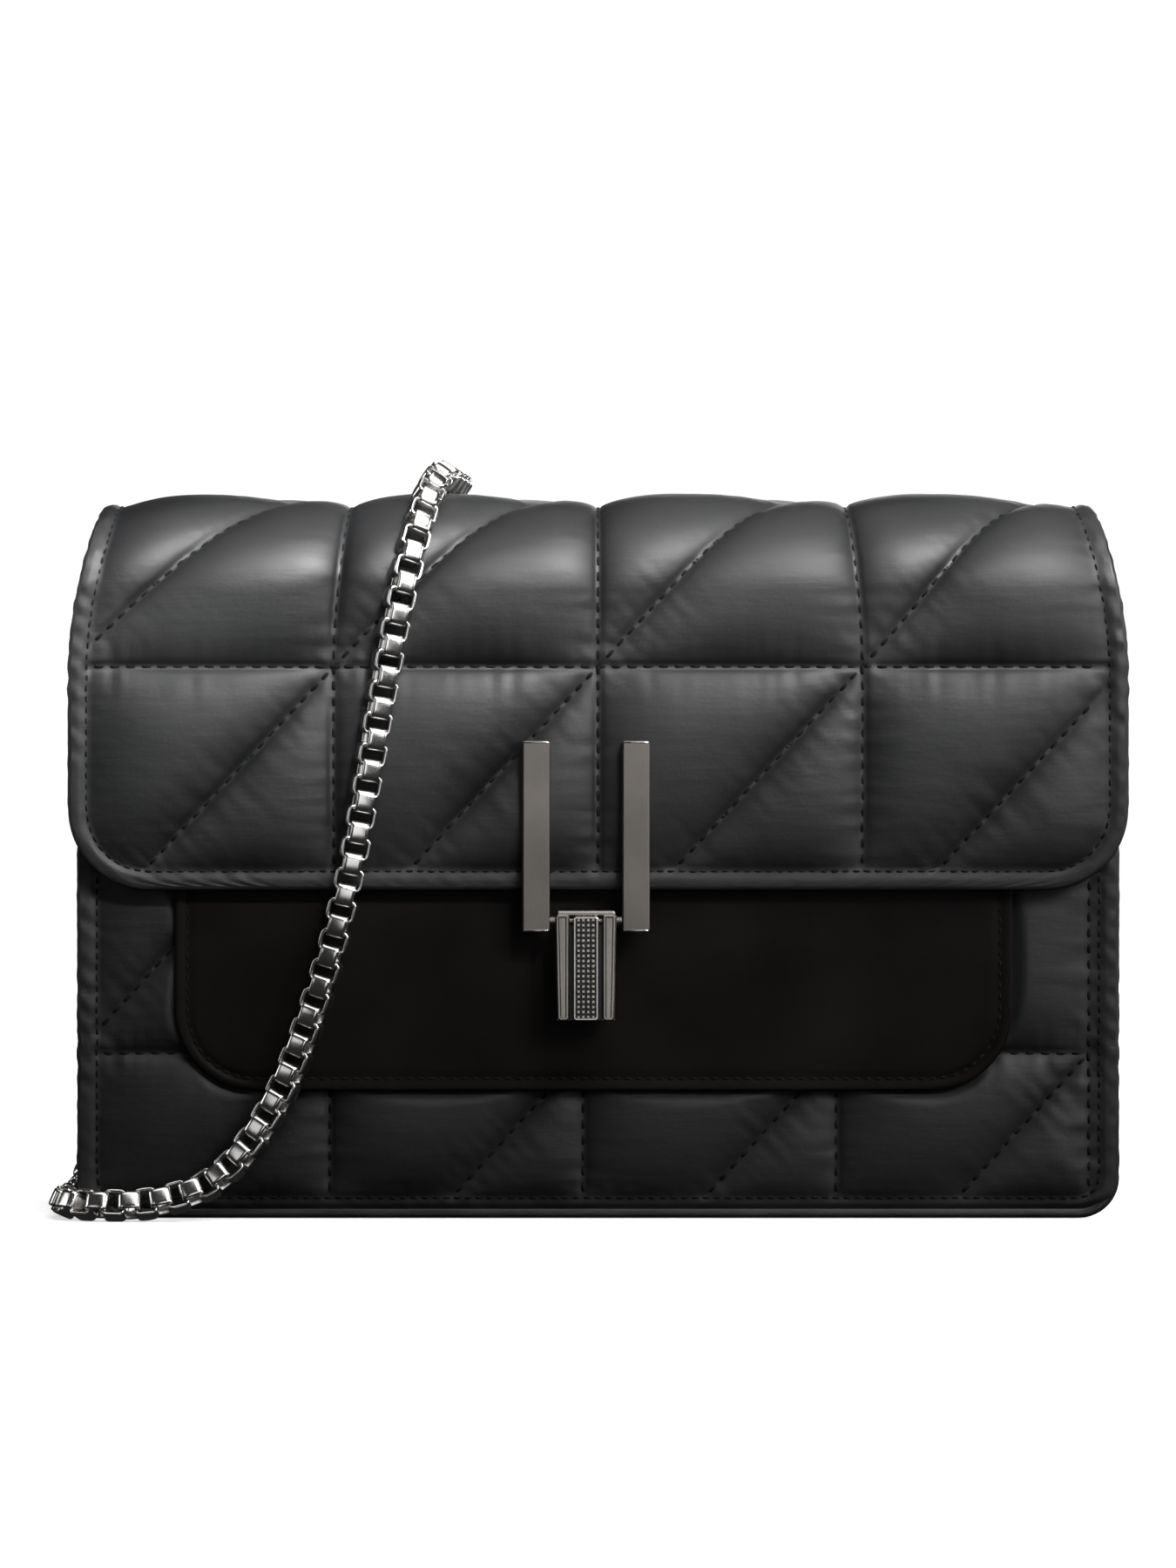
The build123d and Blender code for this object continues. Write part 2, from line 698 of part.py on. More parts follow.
RIGHT_ROUTE = [
    (-105.3, 62.3, 3.2),
    (-105.7, 74.0, 3.2),
    (-99.0, 84.8, 3.2),
    (-86.6, 89.0, 3.2),
    (-68.5, 84.0, 3.2),
    (-47.5, 68.5, 3.2),
    (-25.0, 49.5, 3.2),
    (-3.5, 41.5, 3.2),
    (18.0, 45.0, 3.2),
    (34.5, 57.5, 3.2),
    (41.5, 75.5, 3.2),
    (34.0, 92.5, 3.2),
    (17.0, 99.5, 3.6),
    (0.5, 91.5, 5.0),
    (-5.5, 74.5, 7.2),
    (2.5, 58.0, 9.4),
    (18.5, 45.0, 9.8),
    (37.5, 38.5, 7.6),
    (58.0, 40.5, 3.6),
    (74.5, 46.0, 3.2),
    (89.5, 45.8, 3.2),
    (99.4, 38.2, 3.2),
    (100.6, 25.4, 3.2),
    (100.5, 12.4, 3.2),
    (100.4, 0.2, 8.6),
    (100.1, -7.6, 19.4),
    (99.6, -7.8, 36.0),
    (99.7, -3.8, 54.8),
    (99.6, 0.0, 73.0),
]


def chain_tube(name, route):
    """A plain tube along a route, with each corner as large as its two runs allow."""
    points = [Vector(*p) for p in route]
    radii = []
    for before, here, after in zip(points, points[1:], points[2:]):
        turn = math.radians((here - before).get_angle(after - here))
        shorter = min((here - before).length, (after - here).length)
        radii.append(0.45 * shorter / math.tan(turn / 2))
    with BuildLine() as line:
        FilletPolyline(*points, radius=radii)
    path = line.wire()
    with BuildPart() as tube:
        with BuildSketch(Plane(origin=path @ 0, z_dir=path % 0)):
            Circle(CHAIN_DIAMETER / 2)
        sweep(path=path)
    length = path.length
    share = tube.part.volume / (math.pi * (CHAIN_DIAMETER / 2) ** 2 * length)
    print(name, "length", round(length, 1), "volume share", round(share, 4))
    print("   radii", [round(r, 1) for r in radii])
    write(tube.part, name)
    return length


def main():
    os.makedirs("parts", exist_ok=True)
    body_panels()
    bindings()
    gusset_and_lining()
    back_roll()
    flap()
    lock_panel()
    lock_base()
    lock_bars()
    latch()
    for word, side in SIDES.items():
        ring_tab(word, side)
        d_ring(word, side)
        hook(word, side)
        swivel(word, side)
    tab_rivets()
    total = chain_tube("chain_loop", LOOP_ROUTE)
    total += chain_tube("chain_left", LEFT_ROUTE)
    total += chain_tube("chain_right", RIGHT_ROUTE)
    print("chain total", round(total, 1))
    print("flap axes", back_axis, front_axis, "pin", pin_y, pin_z)


main()
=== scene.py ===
"""Looks of the quilted crossbody bag: padded hides, stitches, box chain and gunmetal lock."""

import json
import math
import random
from collections.abc import Callable
from dataclasses import dataclass

import bpy
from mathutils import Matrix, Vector, noise


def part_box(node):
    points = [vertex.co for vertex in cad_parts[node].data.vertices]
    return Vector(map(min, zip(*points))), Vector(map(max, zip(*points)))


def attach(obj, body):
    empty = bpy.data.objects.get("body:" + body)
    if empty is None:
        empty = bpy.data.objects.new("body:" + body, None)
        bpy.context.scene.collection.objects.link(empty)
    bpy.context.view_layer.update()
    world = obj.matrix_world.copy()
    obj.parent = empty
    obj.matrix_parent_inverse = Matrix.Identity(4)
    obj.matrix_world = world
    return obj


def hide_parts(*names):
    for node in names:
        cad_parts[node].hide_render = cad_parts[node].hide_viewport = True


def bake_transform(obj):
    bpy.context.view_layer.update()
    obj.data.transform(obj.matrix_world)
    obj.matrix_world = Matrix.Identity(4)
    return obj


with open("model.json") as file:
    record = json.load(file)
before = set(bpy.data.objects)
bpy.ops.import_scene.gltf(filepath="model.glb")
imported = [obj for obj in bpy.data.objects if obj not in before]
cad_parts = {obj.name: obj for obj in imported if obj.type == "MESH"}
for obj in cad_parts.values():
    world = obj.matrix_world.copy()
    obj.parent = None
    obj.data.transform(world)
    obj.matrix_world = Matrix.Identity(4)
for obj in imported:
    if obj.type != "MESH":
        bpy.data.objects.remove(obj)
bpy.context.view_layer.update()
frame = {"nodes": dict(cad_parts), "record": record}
MM = 0.001
SIDES = {"left": -1, "right": 1}
rng = random.Random(7)


# ---- Sizes read from the frame (millimetres) ----
def box_mm(node):
    low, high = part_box(node)
    return [v / MM for v in low], [v / MM for v in high]


panel_low, panel_high = box_mm("front_panel")
lock_low, lock_high = box_mm("lock_panel")
lining_low, lining_high = box_mm("lining")
gusset_low, gusset_high = box_mm("gusset_strip")
flap_low, flap_high = box_mm("flap_binding")
roll_high = box_mm("back_fold_roll")[1]

FLAP_FRONT = flap_low[1]
FLAP_BOTTOM = flap_low[2]
FLAP_TOP = box_mm("flap_top_quilt")[1][2]
FLAP_HALF = flap_high[0]
FLAP_ARC = 18.0
FLAP_DEPTH = 4.8
ROLL = FLAP_TOP - roll_high[2] + FLAP_DEPTH / 2
BACK_ROLL_Y = roll_high[1] - ROLL
ARC_Y = FLAP_FRONT + FLAP_ARC
ARC_Z = FLAP_TOP - FLAP_ARC
ARC_END = ARC_Z + FLAP_ARC * math.pi / 2
ROLL_START = ARC_END + BACK_ROLL_Y - ARC_Y
ROLL_END = ROLL_START + ROLL * math.pi / 2
BODY_FRONT = panel_low[1]
BODY_BACK = box_mm("back_panel")[1][1]


# ---- Camera ----
FRAME_HEIGHT = 308.2
CAMERA_DISTANCE = 1200.0
CAMERA_X = -2.0
CAMERA_Z = 85.9
SENSOR = 36.0


def show(name, data):
    """A new object in the scene."""
    thing = bpy.data.objects.new(name, data)
    bpy.context.scene.collection.objects.link(thing)
    return thing


def make_camera():
    data = bpy.data.cameras.new("camera")
    data.lens = SENSOR * CAMERA_DISTANCE / FRAME_HEIGHT
    camera = show("camera", data)
    camera.location = Vector((CAMERA_X, FLAP_FRONT - CAMERA_DISTANCE, CAMERA_Z)) * MM
    camera.rotation_euler = (math.radians(90), 0, 0)
    bpy.context.scene.camera = camera


make_camera()


# ---- Mesh helpers ----
def link(name, store, body, material, smooth=True, instead_of=()):
    """Puts points and faces in the scene as one piece that rides on a body, unless body is None."""
    mesh = mesh_from(name, *store, smooth)
    piece = show(name, mesh)
    mesh.materials.append(material)
    if body:
        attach(piece, body)
    if instead_of:
        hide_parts(*instead_of)
    return piece


def mesh_from(name, points, faces, smooth=True):
    """A mesh from points in millimetres."""
    mesh = bpy.data.meshes.new(name)
    mesh.from_pydata([[c * MM for c in p] for p in points], [], faces)
    mesh.polygons.foreach_set("use_smooth", [smooth] * len(mesh.polygons))
    mesh.update()
    return mesh


def grid_faces(rows, columns, flip=False, close=False, wrap=False):
    """Quads of a grid of points: close joins the last row to the first, wrap the last column."""
    faces = []
    for i in range(rows if close else rows - 1):
        for j in range(columns if wrap else columns - 1):
            here, above = i * columns, (i + 1) % rows * columns
            after = (j + 1) % columns
            face = (here + j, here + after, above + after, above + j)
            faces.append(face[::-1] if flip else face)
    return faces


def add_strip(store, points, faces):
    """Adds points, and faces that count from the first of them, to store."""
    start = len(store[0])
    store[0].extend(points)
    store[1].extend(tuple(start + i for i in face) for face in faces)


def rounded(low_x, high_x, low_z, high_z, radius, turns=4):
    """An anticlockwise rectangle with round corners, from the one at low right."""
    outline = []
    spots = ((high_x - radius, low_z + radius, 270), (high_x - radius, high_z - radius, 0),
             (low_x + radius, high_z - radius, 90), (low_x + radius, low_z + radius, 180))
    for x, z, first in spots:
        for i in range(turns + 1):
            angle = math.radians(first + 90 * i / turns)
            outline.append((x + radius * math.cos(angle), z + radius * math.sin(angle)))
    return outline


def smoothstep(low, high, value):
    t = min(max((value - low) / (high - low), 0.0), 1.0)
    return t * t * (3 - 2 * t)


def wobble(x, y, z):
    """Smooth noise from -1 to 1 at a place."""
    return noise.noise((x, y, z))


def spread(low, high, count):
    return [low + (high - low) * i / (count - 1) for i in range(count)]


# ---- Materials ----
class Nodes:
    """A new material with its shader and short calls to add nodes and links."""

    def __init__(self, name, **sockets):
        self.material = bpy.data.materials.new(name)
        self.material.use_nodes = True
        self.tree = self.material.node_tree
        self.shader = self.tree.nodes["Principled BSDF"]
        for key, value in sockets.items():
            self.shader.inputs[key.replace("_", " ")].default_value = value

    def add(self, kind, inputs=None, **settings):
        node = self.tree.nodes.new(kind)
        for key, value in settings.items():
            setattr(node, key, value)
        for key, value in (inputs or {}).items():
            self.put(node.inputs[key], value)
        return node

    def put(self, socket, value):
        if isinstance(value, bpy.types.NodeSocket):
            self.tree.links.new(value, socket)
        else:
            socket.default_value = value

    def place(self, stretch=(1, 1, 1)):
        """Object coordinates, stretched along each axis."""
        where = self.add("ShaderNodeTexCoord").outputs["Object"]
        return self.add("ShaderNodeMapping", {"Vector": where, "Scale": stretch}).outputs["Vector"]

    def noise(self, scale, where=None, detail=3.0, rough=0.5):
        inputs = {"Scale": scale, "Detail": detail, "Roughness": rough}
        inputs["Vector"] = where or self.place()
        return self.add("ShaderNodeTexNoise", inputs).outputs["Fac"]

    def ranged(self, value, low, high, from_low=0.3, from_high=0.7):
        inputs = {"Value": value, "From Min": from_low, "From Max": from_high}
        inputs.update({"To Min": low, "To Max": high})
        return self.add("ShaderNodeMapRange", inputs).outputs["Result"]

    def mix(self, factor, first, second):
        node = self.add("ShaderNodeMix", data_type="RGBA")
        self.put(node.inputs["Factor"], factor)
        self.put(node.inputs[6], first)
        self.put(node.inputs[7], second)
        return node.outputs[2]

    def two_tone(self, factor, first, second):
        """The surface's colour, from first to second as factor goes from 0 to 1."""
        self.feed("Base Color", self.mix(factor, (*first, 1), (*second, 1)))

    def math(self, operation, first, second):
        return self.add("ShaderNodeMath", {0: first, 1: second}, operation=operation).outputs[0]

    def bump(self, height, strength, distance, after=None):
        inputs = {"Height": height, "Strength": strength, "Distance": distance}
        if after is not None:
            inputs["Normal"] = after
        return self.add("ShaderNodeBump", inputs).outputs["Normal"]

    def feed(self, socket, value):
        self.put(self.shader.inputs[socket], value)


DRAG_SHARE = 25 / 12


def leather(name, colour, rough, grain, crease=0.2, shine=0.33):
    """Smooth coated leather: pores, faint creases, long drag lines, and uneven colour and gloss."""
    mat = Nodes(name, Specular_IOR_Level=shine)
    where = mat.place()
    pores = mat.add("ShaderNodeTexVoronoi", {"Vector": where, "Scale": 1500.0}, feature="SMOOTH_F1")
    creases = mat.noise(420.0, where, 5.0, 0.62)
    cloudy = mat.noise(38.0, where, 3.0)
    lighter = [c * 1.7 + 0.003 for c in colour]
    mat.two_tone(mat.ranged(cloudy, 0, 1), colour, lighter)
    mat.feed("Roughness", mat.ranged(cloudy, rough - 0.05, rough + 0.06))
    first = mat.bump(pores.outputs["Distance"], grain, 0.00012)
    second = mat.bump(creases, crease, 0.00025, first)
    drag = mat.noise(1.0, mat.place((70, 70, 420)), 4.0, 0.6)
    mat.feed("Normal", mat.bump(drag, DRAG_SHARE * crease, 0.0004, second))
    return mat.material


def edge_paint(name):
    mat = Nodes(name, Specular_IOR_Level=0.3)
    cloudy = mat.noise(120.0, detail=4.0)
    mat.two_tone(mat.ranged(cloudy, 0, 1), (0.006, 0.006, 0.0065), (0.014, 0.014, 0.015))
    mat.feed("Roughness", mat.ranged(cloudy, 0.34, 0.48))
    mat.feed("Normal", mat.bump(mat.noise(700.0), 0.15, 0.0002))
    return mat.material


def thread(name):
    mat = Nodes(name, Roughness=0.8, Specular_IOR_Level=0.12)
    fibre = mat.noise(5200.0, detail=2.0)
    mat.two_tone(mat.ranged(fibre, 0, 1), (0.001, 0.001, 0.001), (0.005, 0.005, 0.005))
    mat.feed("Normal", mat.bump(fibre, 0.5, 0.0001))
    return mat.material


def cloth(name, dark, pale):
    """A fine plain weave."""
    mat = Nodes(name, Roughness=0.85)
    where = mat.place()
    waves = []
    for direction in ("X", "Y", "Z"):
        wave = mat.add("ShaderNodeTexWave", {"Vector": where, "Scale": 900.0, "Distortion": 0.6})
        wave.bands_direction = direction
        waves.append(wave.outputs["Fac"])
    weave = mat.math("MULTIPLY", mat.math("MAXIMUM", waves[0], waves[1]), waves[2])
    mat.two_tone(weave, dark, pale)
    mat.feed("Normal", mat.bump(weave, 0.4, 0.00015))
    return mat.material


def metal(name, colour, rough, stretch, depth, spread_by=0.08):
    """Plated metal with fine brush lines along the axis that stretch leaves long."""
    mat = Nodes(name, Metallic=1.0)
    lines = mat.noise(1.0, mat.place(stretch), 4.0, 0.6)
    stains = mat.noise(90.0, detail=4.0)
    darker = [c * 0.72 for c in colour]
    mat.two_tone(mat.ranged(stains, 0, 0.8), colour, darker)
    mat.feed("Roughness", mat.ranged(lines, rough - spread_by, rough + spread_by))
    mat.feed("Normal", mat.bump(lines, depth, 0.00005))
    return mat.material


HIDE = leather("quilted_hide", (0.0020, 0.0021, 0.0024), 0.53, 0.10, 0.12)
SMOOTH_HIDE = leather("smooth_hide", (0.0020, 0.0012, 0.0009), 0.46, 0.06, 0.05, 0.055)
PLAIN_HIDE = leather("plain_hide", (0.0020, 0.0020, 0.0022), 0.48, 0.10, 0.10, 0.25)
EDGE = edge_paint("painted_edge")
THREAD = thread("black_thread")
CLOTH = cloth("lining_weave", (0.010, 0.010, 0.011), (0.035, 0.035, 0.037))
BAG_BOARD = cloth("bag_board", (0.20, 0.18, 0.15), (0.30, 0.27, 0.23))
BRUSHED = metal("brushed_gunmetal", (0.165, 0.152, 0.140), 0.34, (7000, 7000, 60), 0.12)
RAIL_METAL = metal("rail_gunmetal", (0.24, 0.225, 0.21), 0.24, (2500, 2500, 60), 0.08)
GRIP = metal("grip_gunmetal", (0.42, 0.40, 0.38), 0.28, (2500, 2500, 2500), 0.10)
POLISHED = metal("polished_gunmetal", (0.42, 0.40, 0.385), 0.20, (900, 900, 900), 0.05)
LINK_METAL = metal("chain_gunmetal", (0.74, 0.725, 0.71), 0.20, (1400, 1400, 1400), 0.015, 0.03)
MAGNET = metal("magnet_nickel", (0.55, 0.54, 0.52), 0.30, (400, 400, 400), 0.05)

FINISH = {
    "quilt": HIDE,
    "smooth_leather": PLAIN_HIDE,
    "edge": EDGE,
    "lining_cloth": CLOTH,
    "board": BAG_BOARD,
    "lock_metal": BRUSHED,
    "lock_grip": GRIP,
    "hardware": POLISHED,
    "magnet": MAGNET,
    "chain": LINK_METAL,
}


def finish_cad_nodes():
    """Gives every CAD node that stays visible the finish of its slot."""
    slots = {part["node"]: part["material_slot"] for part in frame["record"]["subparts"]}
    for node, piece in frame["nodes"].items():
        piece.data.materials.clear()
        piece.data.materials.append(FINISH[slots[node]])


finish_cad_nodes()


# ---- Chain ----
CHAIN_WIDTH = 5.6
LINK_LENGTH = 4.5
LINK_BREADTH = 3.5
LINK_METAL_THICKNESS = 0.6
LINK_PITCH = 3.1
ROUTES = {
    "chain_loop": [
        (-105.3, 62.0, 3.2), (-104.9, 50.0, 3.2), (-98.0, 40.0, 3.2), (-86.8, 35.8, 4.4),
        (-74.5, 35.8, 12.5), (-62.5, 35.8, 30.0), (-54.5, 35.8, 51.0), (-48.5, 35.8, 75.0),
        (-43.5, 36.2, 99.0), (-38.8, 37.2, 118.5), (-34.6, 37.6, 133.4), (-31.4, 32.2, 144.4),
        (-29.0, 21.0, 148.8), (-28.4, 6.0, 146.8), (-29.4, -9.5, 146.8), (-31.6, -23.0, 147.8),
        (-34.4, -36.5, 140.8), (-38.0, -42.2, 126.5), (-42.0, -42.4, 106.5), (-45.6, -42.2, 84.5),
        (-49.6, -41.8, 62.5), (-55.4, -39.6, 42.0), (-63.0, -37.6, 22.5), (-74.0, -36.9, 7.4),
        (-88.0, -37.8, 2.9), (-101.0, -36.6, 3.1), (-106.6, -28.6, 3.2), (-105.6, -20.0, 3.2),
    ],
    "chain_left": [
        (-105.6, -19.7, 3.2), (-104.4, -8.0, 3.2), (-102.4, 2.6, 8.6), (-100.3, 8.6, 18.8),
        (-99.6, 8.4, 35.6), (-99.7, 4.0, 54.8), (-99.6, 0.0, 73.0),
    ],
    "chain_right": [
        (-105.3, 62.3, 3.2), (-105.7, 74.0, 3.2), (-99.0, 84.8, 3.2), (-86.6, 89.0, 3.2),
        (-68.5, 84.0, 3.2), (-47.5, 68.5, 3.2), (-25.0, 49.5, 3.2), (-3.5, 41.5, 3.2),
        (18.0, 45.0, 3.2), (34.5, 57.5, 3.2), (41.5, 75.5, 3.2), (34.0, 92.5, 3.2),
        (17.0, 99.5, 3.6), (0.5, 91.5, 5.0), (-5.5, 74.5, 7.2), (2.5, 58.0, 9.4),
        (18.5, 45.0, 9.8), (37.5, 38.5, 7.6), (58.0, 40.5, 3.6), (74.5, 46.0, 3.2),
        (89.5, 45.8, 3.2), (99.4, 38.2, 3.2), (100.6, 25.4, 3.2), (100.5, 12.4, 3.2),
        (100.4, 0.2, 8.6), (100.1, -7.6, 19.4), (99.6, -7.8, 36.0), (99.7, -3.8, 54.8),
        (99.6, 0.0, 73.0),
    ],
}


def route_points(name, route):
    """Points, in metres, along the NURBS spline of a route."""
    data = bpy.data.curves.new(name + "_route", "CURVE")
    data.dimensions = "3D"
    data.resolution_u = 24
    spline = data.splines.new("NURBS")
    spline.points.add(len(route) - 1)
    for point, place in zip(spline.points, route):
        point.co = (*[c * MM for c in place], 1)
    spline.order_u = 3
    spline.use_endpoint_u = True
    holder = bpy.data.objects.new(name + "_route", data)
    mesh = bpy.data.meshes.new_from_object(holder)
    points = [vertex.co.copy() for vertex in mesh.vertices]
    bpy.data.objects.remove(holder)
    bpy.data.meshes.remove(mesh)
    return points


def length_of(points):
    return sum((second - first).length for first, second in zip(points, points[1:]))


def evenly(points, step):
    """Places and directions every step (metres) along a line, from half a step in."""
    found, travelled, wanted = [], 0.0, step / 2
    for first, second in zip(points, points[1:]):
        length = (second - first).length
        while wanted <= travelled + length and length > 0:
            found.append((first.lerp(second, (wanted - travelled) / length), (second - first).normalized()))
            wanted += step
        travelled += length
    return found


def link_shape():
    """One flat-band link, long along Z and wide along X, with the band's breadth along Y.

    The band is crowned across its breadth and along each of its sides.
    """
    corner, turns, spans = 1.1, 4, 3
    half_long, half_wide = LINK_LENGTH / 2 - corner, CHAIN_WIDTH / 2 - corner
    signs = ((1, 1), (-1, 1), (-1, -1), (1, -1))
    middle = []
    for quarter, (sx, sz) in enumerate(signs):
        for i in range(turns + 1):
            angle = math.radians(90 * (quarter + i / turns))
            middle.append((sx * half_wide, sz * half_long, math.cos(angle), math.sin(angle)))
        next_x, next_z = signs[(quarter + 1) % 4]
        for i in range(1, spans):
            t = i / spans
            x = (sx + (next_x - sx) * t) * half_wide
            z = (sz + (next_z - sz) * t) * half_long
            middle.append((x, z, middle[-1][2], middle[-1][3]))
    half, soft = LINK_BREADTH / 2, 0.15
    inner = corner - LINK_METAL_THICKNESS
    section = [(corner, across) for across in spread(-half + soft, half - soft, 7)]
    section += [(corner - soft, half), (inner + soft, half), (inner, half - soft)]
    section += [(inner, -half + soft), (inner + soft, -half), (corner - soft, -half)]
    points = []
    for cx, cz, nx, nz in middle:
        swell = 0.05 * (1 - (cz / half_long) ** 2) * abs(nx)
        for radius, across in section:
            bulge = 0.07 * (1 - (across / half) ** 2) + swell if radius >= corner - soft else 0
            points.append((cx + nx * (radius + bulge), across, cz + nz * (radius + bulge)))
    return points, grid_faces(len(middle), len(section), close=True, wrap=True)


def chain_links(points, facing, roll):
    """Links along a line. facing is the way the open links look; roll(fraction) adds degrees."""
    shape, shape_faces = link_shape()
    total = length_of(points)
    count = round(total / (LINK_PITCH * MM))
    places = evenly(points, total / count)
    store = ([], [])
    across = Vector(facing)
    for index, (place, direction) in enumerate(places):
        across = (across - direction * across.dot(direction)).normalized()
        side = across.cross(direction)
        turn = math.radians(roll(index / len(places)) + 90 * (index % 2) + rng.uniform(-3, 3))
        first = side * math.cos(turn) + across * math.sin(turn)
        second = direction.cross(first)
        link_points = [(place + (first * x + second * y + direction * z) * MM) / MM for x, y, z in shape]
        add_strip(store, link_points, shape_faces)
    return store


def loop_roll(fraction):
    """The draped loop turns over the flap's edge and lies on its corner where it meets the surface."""
    return 45 * smoothstep(0.66, 0.9, fraction) + 45 * (1 - smoothstep(0.05, 0.2, fraction))


def make_chains():
    """The draped loop, and the two stretches that hang from the rings and bend where they meet them."""
    for name, route in ROUTES.items():
        points = route_points(name, route)
        draped = name == "chain_loop"
        facing, roll = ((0, 1, 0), loop_roll) if draped else ((0, 0, 1), lambda fraction: 45)
        body = "strap_loop" if draped else None
        links = chain_links(points, facing, roll)
        piece = link(name + "_links", links, body, LINK_METAL, instead_of=[name])
        if not draped:
            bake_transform(piece)


make_chains()


# ---- Quilting ----
SEAM_DROP = 1.1
PUFF = 3.15
ROUNDING = 6.2
GROOVE = 0.35
RIM_DROP = 0.7
BORDER = 4.0
STRAIGHT_ABOVE = 30.0


def off_line(value):
    """Distance of a value from the nearest whole number."""
    return abs(value - round(value))


@dataclass
class Quilt:
    """A padded skin on an outline with round bottom corners, sewn in cells that a diagonal cuts in two.

    surface(x, v, height) is the place above x, v; half(v) is half the width there; press(x, v) is the
    highest that the skin may stand; hem is how far the bottom edge draws in.
    """

    surface: Callable
    half: Callable
    low: float
    high: float
    corner: float
    origin: tuple
    cell: tuple
    border: float = BORDER
    step: float = 0.8
    press: Callable = None
    hem: float = 0.0

    def flare(self, v):
        """How much wider the outline is at v than low on the panel; the seams spread with it."""
        return self.half(v) / self.half(self.low + STRAIGHT_ABOVE)

    def edge_distance(self, x, v):
        half = self.half(v)
        side = abs(x) - (half - self.corner)
        down = self.low + self.corner - v
        if side > 0 and down > 0:
            return self.corner - math.hypot(side, down)
        return min(half - abs(x), v - self.low)

    def seams(self, x, v):
        """Distance to the nearest column, row and diagonal, each with the place along it."""
        width, height = self.cell
        across = (x / self.flare(v) - self.origin[0]) / width
        up = (v - self.origin[1]) / height
        slant = width * height / math.hypot(width, height)
        return (
            (off_line(across) * width, v, round(across)),
            (off_line(up) * height, x, 40 + round(up)),
            (off_line(up - across) * slant, x + v, 80 + round(up - across)),
            (self.high - v, x, 7),
        )

    def height(self, x, v):
        edge = self.edge_distance(x, v)
        if edge < self.border:
            arch = math.sin(math.pi * min(max(edge, 0.0) / self.border, 1.0))
            pucker = wobble(x / 2.3, v / 2.3, 5.0) + 0.5 * math.sin((x + v) * 1.37)
            groove = (SEAM_DROP - RIM_DROP) * smoothstep(self.border - 0.9, self.border, edge)
            pucker *= 0.08 + 0.14 * smoothstep(8, 30, v - self.low)
            under = self.hem * smoothstep(self.border + 0.5, 0.5, v - self.low)
            return -RIM_DROP - groove - under + arch * (0.18 + pucker)
        rise = 1 - math.exp(-(edge - self.border) / ROUNDING)
        pucker = 0.22 * math.exp(-(edge - self.border) / 2.6) * wobble(x / 2.1, v / 2.1, 9.0)
        for distance, along, seed in self.seams(x, v):
            rise *= 1 - math.exp(-distance / ROUNDING)
            pucker -= GROOVE * math.exp(-((distance / 0.55) ** 2))
            near = math.exp(-distance / 3.4) * (1 - math.exp(-distance / 0.7))
            pucker += 0.42 * near * wobble(along / 2.2, seed * 3.7, distance / 14.0)
        sag = 0.16 * wobble(x / 15.0, v / 15.0, 2.0) + 0.05 * wobble(x / 4.0, v / 4.0, 3.0)
        height = -SEAM_DROP + 1.15 * PUFF * rise ** 0.82 + pucker + sag * rise
        return min(height, self.press(x, v)) if self.press else height

    def stitch_place(self, x, v):
        """Where a stitch lies at x, v, just proud of the skin."""
        return Vector(self.surface(x, v, self.height(x, v) + 0.05))

    def outline_half(self, v, inset):
        """Half width of the outline at v, with its bottom corners, pulled in by inset."""
        low, corner = self.low + inset, self.corner - inset
        half = self.half(v) - inset
        down = max(low + corner - v, 0.0)
        return half - corner + math.sqrt(max(corner ** 2 - down ** 2, 0.0))

    def skin(self, low, high, inset=0.8):
        """Points and faces of the outer face between two places along the skin."""
        rows = max(int((high - low) / self.step) + 1, 4)
        columns = int(2 * self.half(high) / self.step) + 1
        points = []
        for row in spread(0, 1, rows):
            v = low + (high - low) * row
            half = self.outline_half(v, inset)
            for s in spread(-1, 1, columns):
                points.append(self.surface(s * half, v, self.height(s * half, v)))
        return points, grid_faces(rows, columns)

    def rim(self, profile, low, high, step=1.0):
        """A strip down one side, along the bottom and up the other: profile is (outward, height) pairs."""
        stations = self.stations(low, high, step)
        points = []
        for x, v, out_x, out_v in stations:
            for out, height in profile:
                points.append(self.surface(x + out * out_x, v + out * out_v, height))
        return points, grid_faces(len(stations), len(profile), flip=True)

    def stations(self, low, high, step, inset=0.0):
        """Places along the outline, with the outward direction at each, from right to left."""
        bottom = low <= self.low + self.corner
        start = self.low + self.corner if bottom else low
        count = int((high - start) / step) + 2
        right = [(self.half(v) - inset, v, 1.0, 0.0) for v in spread(high, start, count)]
        flat = []
        if bottom:
            centre = self.half(start) - self.corner
            radius = self.corner - inset
            turns = spread(0, math.pi / 2, max(int(radius * 1.6 / step), 6))
            for turn in turns[1:]:
                across, down = math.cos(turn), math.sin(turn)
                right.append((centre + radius * across, start - radius * down, across, -down))
            xs = spread(centre, -centre, int(2 * centre / step) + 2)[1:-1]
            flat = [(x, self.low + inset, 0.0, -1.0) for x in xs]
        return right + flat + [(-x, v, -out_x, out_v) for x, v, out_x, out_v in right[::-1]]

